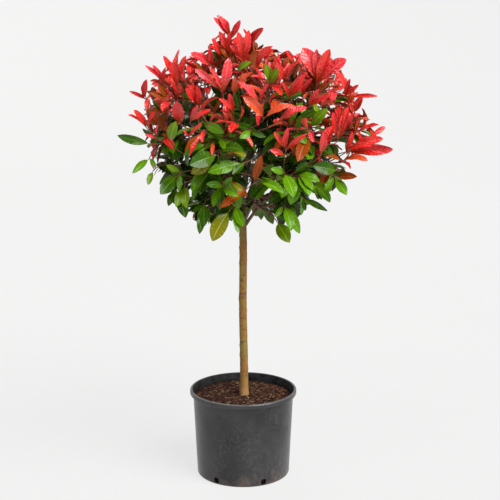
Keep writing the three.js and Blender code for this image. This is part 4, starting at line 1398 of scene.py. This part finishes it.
def potProfile():
    # half section, from the middle of the underside out, up, over the rim and down inside
    top, rim, foot, centre = pot["height"], pot["rimRadius"], pot["footRadius"], pot["centre"]
    underRim = top - pot["rimHeight"]
    ring, curve, lip, innerRound = pot["footRing"], pot["footRound"], pot["lip"], pot["innerRound"]
    inner, middle, outer = pot["recess"]
    outside = [(centre, inner), (pot["recessMiddle"], middle), (foot - ring, outer)]
    outside += [(foot - ring + pot["ringWidth"], 0.0)]
    outside += rounded(foot - curve, curve, curve, -90, 0)
    outside += [(wallRadius(z), z) for z in np.linspace(8, underRim - 5, pot["outsideRows"])]
    outside += [(pot["neckRadius"] - 0.2, underRim - 3), (pot["neckRadius"] + 0.9, underRim - 1)]
    outside += rounded(rim - lip, underRim + 2.4, lip, -80, 0, 4)
    outside += [(rim - 0.3, underRim + 6)]
    outside += rounded(rim - pot["rimRound"], top - pot["rimRound"], pot["rimRound"], 4, 90)
    inside = rounded(rim - pot["rimWidth"] + 1.0, top - innerRound, innerRound, 92, 172, 4)
    inside += [(wallRadius(underRim) - pot["wall"], underRim - 1)]
    inside += [(wallRadius(z) - pot["wall"], z) for z in np.linspace(underRim - 8, 8, pot["insideRows"])]
    inside += [(foot - pot["floorEdge"], pot["floorTop"]), (centre, pot["floorTop"])]
    return outside, inside


def drainCutter(finishes):
    # a block with round corners for each hole, all in one piece; its faces take the finish of the inside,
    # which is painted shade
    cutters = Pile()
    corner = drain["corner"]
    half = drain["width"] / 2 - corner
    low, high = drain["sill"] + corner, drain["sill"] + drain["height"] - corner
    slot = []
    for start, (x, z) in enumerate(((half, high), (-half, high), (-half, low), (half, low))):
        slot += rounded(x, z, corner, start * 90, start * 90 + 90, 4)
    slot = np.array(slot)
    around = len(slot)
    cap = np.array([(k, k + 1, around - 2 - k, around - 1 - k) for k in range(around // 2 - 1)])
    walls = gridQuads(2, around, closed=True, flip=True)
    quads = np.concatenate((walls, cap[:, ::-1], cap + around))
    for i in range(drain["count"]):
        turn = math.radians(drain["firstTurn"] + i * 360 / drain["count"])
        out = np.array((math.cos(turn), math.sin(turn), 0))
        side = cross(up, out)
        ends = [out * reach + side * slot[:, :1] + up * slot[:, 1:] for reach in drain["through"]]
        cutters.add(np.array(ends), quads, 1)
    return cutters.piece("drain_cutter", finishes, "pot")


def makePot():
    outside, inside = potProfile()
    profile = np.array(outside + inside)
    angle = anglesOf(pot["sides"])
    ring = np.stack((np.cos(angle), np.sin(angle)), -1)
    heights = np.repeat(profile[:, 1:, None], pot["sides"], 1)
    rings = np.concatenate((profile[:, None, :1] * ring[None], heights), -1)
    # the last row joins the first, so that the shell is closed
    quads = gridQuads(len(profile) + 1, pot["sides"], closed=True, flip=True) % (len(profile) * pot["sides"])
    slots = np.repeat([0] * len(outside) + [1] * len(inside), pot["sides"])
    pile = Pile()
    pile.add(rings, quads, slots)
    # the inner wall and the holes' walls take a darker, duller finish as painted shade
    finishes = [potSurface(), plainSurface("pot_inside", "inside", potLooks["inside"], potLooks["pale"])]
    made = pile.piece("pot_shell", finishes, "pot", ["pot"])
    cutter = drainCutter(finishes)
    cut = made.modifiers.new("drain", "BOOLEAN")
    cut.operation, cut.solver, cut.object = "DIFFERENCE", "EXACT", cutter
    bpy.context.view_layer.update()
    holed = bpy.data.meshes.new_from_object(made.evaluated_get(bpy.context.evaluated_depsgraph_get()))
    made.modifiers.clear()
    made.data = holed
    bpy.data.objects.remove(cutter)
    holed.shade_smooth()
    smooth = made.modifiers.new("crisp edges", "WEIGHTED_NORMAL")
    smooth.keep_sharp = True
    holed.set_sharp_from_angle(angle=math.radians(drain["sharpFrom"]))
    print("  drain holes cut:", drain["count"])


print("pot and compost:")
makePot()

# Compost
compost = dict(level=210, hollowRadius=30, swellRadius=80, swell=1.5, edgeDrop=4, clear=0.3, centre=0.5,
               rings=64, sides=150, lump=1.5, grain=0.11, grains=((1, 1), (3.1, 0.6), (8, 0.35)),
               fines=((0.012, 0.005, 0.003), (0.045, 0.016, 0.010)))
# the filling under the bed, from the top down: its height, and how far it keeps from the wall; it draws in a
# little behind the drain holes
filling = ((196, 0.5), (27, 0.5), (22, 5), (8, 4))
chip = dict(count=4800, length=(2.5, 9.5), smallness=2.2, wide=(0.25, 0.55), thick=(0.1, 0.3), thickest=3.0,
            tip=0.28, roll=0.35, sunk=(-0.1, 0.6), edge=4, jitter=(0.8, 1.2),
            stations=((-0.5, 1.0), (0.1, 1.15), (0.5, 0.45)))
# the share of the chips in each tint, and its two tones
chipTints = dict(dark=(0.41, (0.011, 0.004, 0.003), (0.031, 0.012, 0.008)),
                 red=(0.42, (0.035, 0.010, 0.007), (0.075, 0.024, 0.014)),
                 brown=(0.15, (0.046, 0.020, 0.010), (0.092, 0.044, 0.021)),
                 pale=(0.02, (0.18, 0.11, 0.055), (0.32, 0.22, 0.12)))
fibre = dict(count=420, edge=8, clearOfStem=18, length=(4, 13), curl=0.8, points=5, lift=(1.2, 1.2), sag=3,
             radius=(0.25, 0.6), sides=4)


def bedHeight(radius, edge):
    level = compost["level"]
    return np.interp(radius, (0, compost["hollowRadius"], compost["swellRadius"], edge),
                     (level, level, level + compost["swell"], level - compost["edgeDrop"]))


def makeBed(edge):
    points, turns = [], anglesOf(compost["sides"])
    for radius in np.linspace(compost["centre"], edge, compost["rings"]):
        for turn in turns:
            x, y = radius * math.cos(turn), radius * math.sin(turn)
            spot = Vector((x * compost["grain"], y * compost["grain"], 0))
            rough = sum(share * noise.noise(spot * scale) for scale, share in compost["grains"])
            points.append((x, y, bedHeight(radius, edge) + compost["lump"] * rough))
    rows = [(wallRadius(z) - pot["wall"] - inward, z) for z, inward in filling]
    for radius, z in rows + [(compost["centre"], rows[-1][1])]:
        points += [(radius * math.cos(turn), radius * math.sin(turn), z) for turn in turns]
    bed = Pile()
    rowCount = len(points) // len(turns)
    bed.add(points, gridQuads(rowCount + 1, len(turns), closed=True) % len(points), 0)
    fines = plainSurface("compost_fines", "crumb", *compost["fines"])
    bed.piece("compost_bed", [fines], "compost", ["compost"])


def addChips(pile, edge, draw):
    # bark chips: slabs that narrow to one end, lying flat or tipped
    count = chip["count"]
    radius = np.sqrt(draw.uniform(0.01, 1, count)) * (edge - chip["edge"])
    turn = draw.uniform(0, 2 * math.pi, count)
    length = mix(*chip["length"], draw.uniform(0, 1, count) ** chip["smallness"])
    wide = length * draw.uniform(*chip["wide"], count)
    thick = np.minimum(chip["thickest"], length * draw.uniform(*chip["thick"], count))
    yaw = draw.uniform(0, 2 * math.pi, count)
    tip, roll = draw.normal(0, chip["tip"], count), draw.normal(0, chip["roll"], count)[:, None]
    along = np.stack((np.cos(yaw) * np.cos(tip), np.sin(yaw) * np.cos(tip), np.sin(tip)), -1)
    flat = np.stack((-np.sin(yaw), np.cos(yaw), 0 * yaw), -1)
    normal = np.cross(along, flat)
    flat, normal = flat * np.cos(roll) + normal * np.sin(roll), normal * np.cos(roll) - flat * np.sin(roll)
    height = bedHeight(radius, edge) + thick * draw.uniform(*chip["sunk"], count)
    middle = np.stack((radius * np.cos(turn), radius * np.sin(turn), height), -1)
    stemEdge = trunk["footRadius"] + trunk["flare"] + 1
    keep = np.hypot(middle[:, 0] - trunk["footX"], middle[:, 1]) > stemEdge
    corners = []
    for x, narrow in chip["stations"]:
        for y, z in ((-0.5, -0.5), (0.5, -0.5), (0.5, 0.5), (-0.5, 0.5)):
            jitter = draw.uniform(*chip["jitter"], (count, 1))
            corners.append(middle + along * (x * length)[:, None] * jitter
                           + flat * (y * wide * narrow)[:, None] * jitter
                           + normal * (z * thick * narrow)[:, None])
    corners = np.stack(corners, 1)
    quads = np.concatenate((gridQuads(3, 4, closed=True, flip=True), ((0, 1, 2, 3), (11, 10, 9, 8))))
    tints = draw.choice(len(chipTints), count, p=[share for share, _, _ in chipTints.values()])
    for i in np.flatnonzero(keep):
        pile.add(corners[i], quads, tints[i])


def addFibres(pile, edge, draw):
    # thin pale strands that curl over the chips
    steps = np.linspace(-0.5, 0.5, fibre["points"])
    for i in range(fibre["count"]):
        radius = (edge - fibre["edge"]) * math.sqrt(draw.uniform(0.03, 1))
        turn, yaw = draw.uniform(0, 6.28), draw.uniform(0, 6.28)
        if radius < fibre["clearOfStem"]:
            continue
        reach, curl = draw.uniform(*fibre["length"]), draw.normal(0, fibre["curl"])
        x = radius * math.cos(turn) + reach * steps * np.cos(yaw + curl * steps)
        y = radius * math.sin(turn) + reach * steps * np.sin(yaw + curl * steps)
        least, more = fibre["lift"]
        z = bedHeight(np.hypot(x, y), edge) + least + draw.uniform(0, more) - fibre["sag"] * steps ** 2
        radii = np.full(len(steps), draw.uniform(*fibre["radius"]))
        addTube(pile, np.stack((x, y, z), -1), radii, fibre["sides"], 3 if i % 3 else 2)


def makeCompost():
    draw = np.random.default_rng(seed)
    edge = wallRadius(compost["level"] - compost["edgeDrop"]) - pot["wall"] - compost["clear"]
    makeBed(edge)
    chips = Pile()
    addChips(chips, edge, draw)
    addFibres(chips, edge, draw)
    surfaces = [plainSurface("chip_" + name, "crumb", *tones) for name, (_, *tones) in chipTints.items()]
    chips.piece("compost_chips", surfaces, "compost", smooth=False)


makeCompost()

# Studio
studio = dict(flat=4.4, flatShares=(0.0002, 0.2, 0.4, 0.7, 1.0), rise=3.2, riseFrom=0.1, riseSteps=16,
              sides=96, under=0.0006, paper=(0.085, 0.085, 0.085), paperShade=0.985, tones=(3, 2),
              gloss=((30, 2), (0.3, 0.7, 0.85, 0.95)), paperGlow=0.72, world=(1.0, 1.0, 1.0),
              worldStrength=0.16, clipEnd=60)
keyLight = dict(place=(2.1, -2.0, 3.0), angle=44, power=4.9, colour=(1.0, 0.99, 0.97))
# soft square lights that face the plant: one in front and above, and one that lights its back
softLights = dict(front_light=dict(place=(-0.6, -1.2, 3.0), size=0.9, power=16),
                  back_light=dict(place=(-0.8, 1.8, 2.6), size=1.2, power=14))


def layPaper():
    # a round sheet of paper that curves up into a wall on every side
    rings = [(studio["flat"] * share, 0.0) for share in studio["flatShares"]]
    rings += [(studio["flat"] + studio["rise"] * math.sin(a), studio["rise"] * (1 - math.cos(a)))
              for a in np.linspace(studio["riseFrom"], math.pi / 2, studio["riseSteps"])]
    points = [(radius * math.cos(turn), radius * math.sin(turn), z - studio["under"])
              for radius, z in rings for turn in anglesOf(studio["sides"])]
    s = Surface("studio_paper", studio["paper"])
    s.cover(shade(studio["paper"], studio["paperShade"]), s.noise(*studio["tones"]))
    s.put(s.shader.inputs["Base Color"], s.tone)
    s.put(s.shader.inputs["Roughness"], s.pattern(*studio["gloss"]))
    s.put(s.shader.inputs["Emission Color"], (1, 1, 1, 1))
    s.put(s.shader.inputs["Emission Strength"], studio["paperGlow"])
    mesh = bpy.data.meshes.new("studio_floor")
    mesh.from_pydata(points, [], gridQuads(len(rings), studio["sides"], closed=True).tolist())
    mesh.materials.append(s.material)
    mesh.shade_smooth()
    floor = bpy.data.objects.new("studio_floor", mesh)
    bpy.context.scene.collection.objects.link(floor)


def hangLight(name, kind, look):
    # a lamp that faces the foot of the plant
    light = bpy.data.lights.new(name, kind)
    light.energy = look["power"]
    lamp = bpy.data.objects.new(name, light)
    lamp.rotation_euler = (-Vector(look["place"])).to_track_quat("-Z", "Y").to_euler()
    bpy.context.scene.collection.objects.link(lamp)
    return light, lamp


def makeStudio():
    layPaper()
    world = bpy.data.worlds.new("studio_light")
    world.use_nodes = True
    background = world.node_tree.nodes["Background"]
    background.inputs["Color"].default_value = (*studio["world"], 1)
    background.inputs["Strength"].default_value = studio["worldStrength"]
    bpy.context.scene.world = world

    key, _ = hangLight("key_light", "SUN", keyLight)
    key.angle, key.color = math.radians(keyLight["angle"]), keyLight["colour"]
    for name, look in softLights.items():
        soft, lamp = hangLight(name, "AREA", look)
        soft.size = look["size"]
        lamp.location = look["place"]

    camera = bpy.data.objects.new("camera", bpy.data.cameras.new("camera"))
    camera.data.lens, camera.data.sensor_width = lens["focal"], lens["sensor"]
    camera.data.clip_end = studio["clipEnd"]
    camera.location = lens["place"] * mm
    camera.rotation_euler = (math.radians(90 - lens["pitch"]), 0, 0)
    bpy.context.scene.collection.objects.link(camera)
    bpy.context.scene.camera = camera
    bpy.context.scene.view_settings.view_transform = "Standard"


makeStudio()
print("studio ready")

bpy.context.view_layer.update()
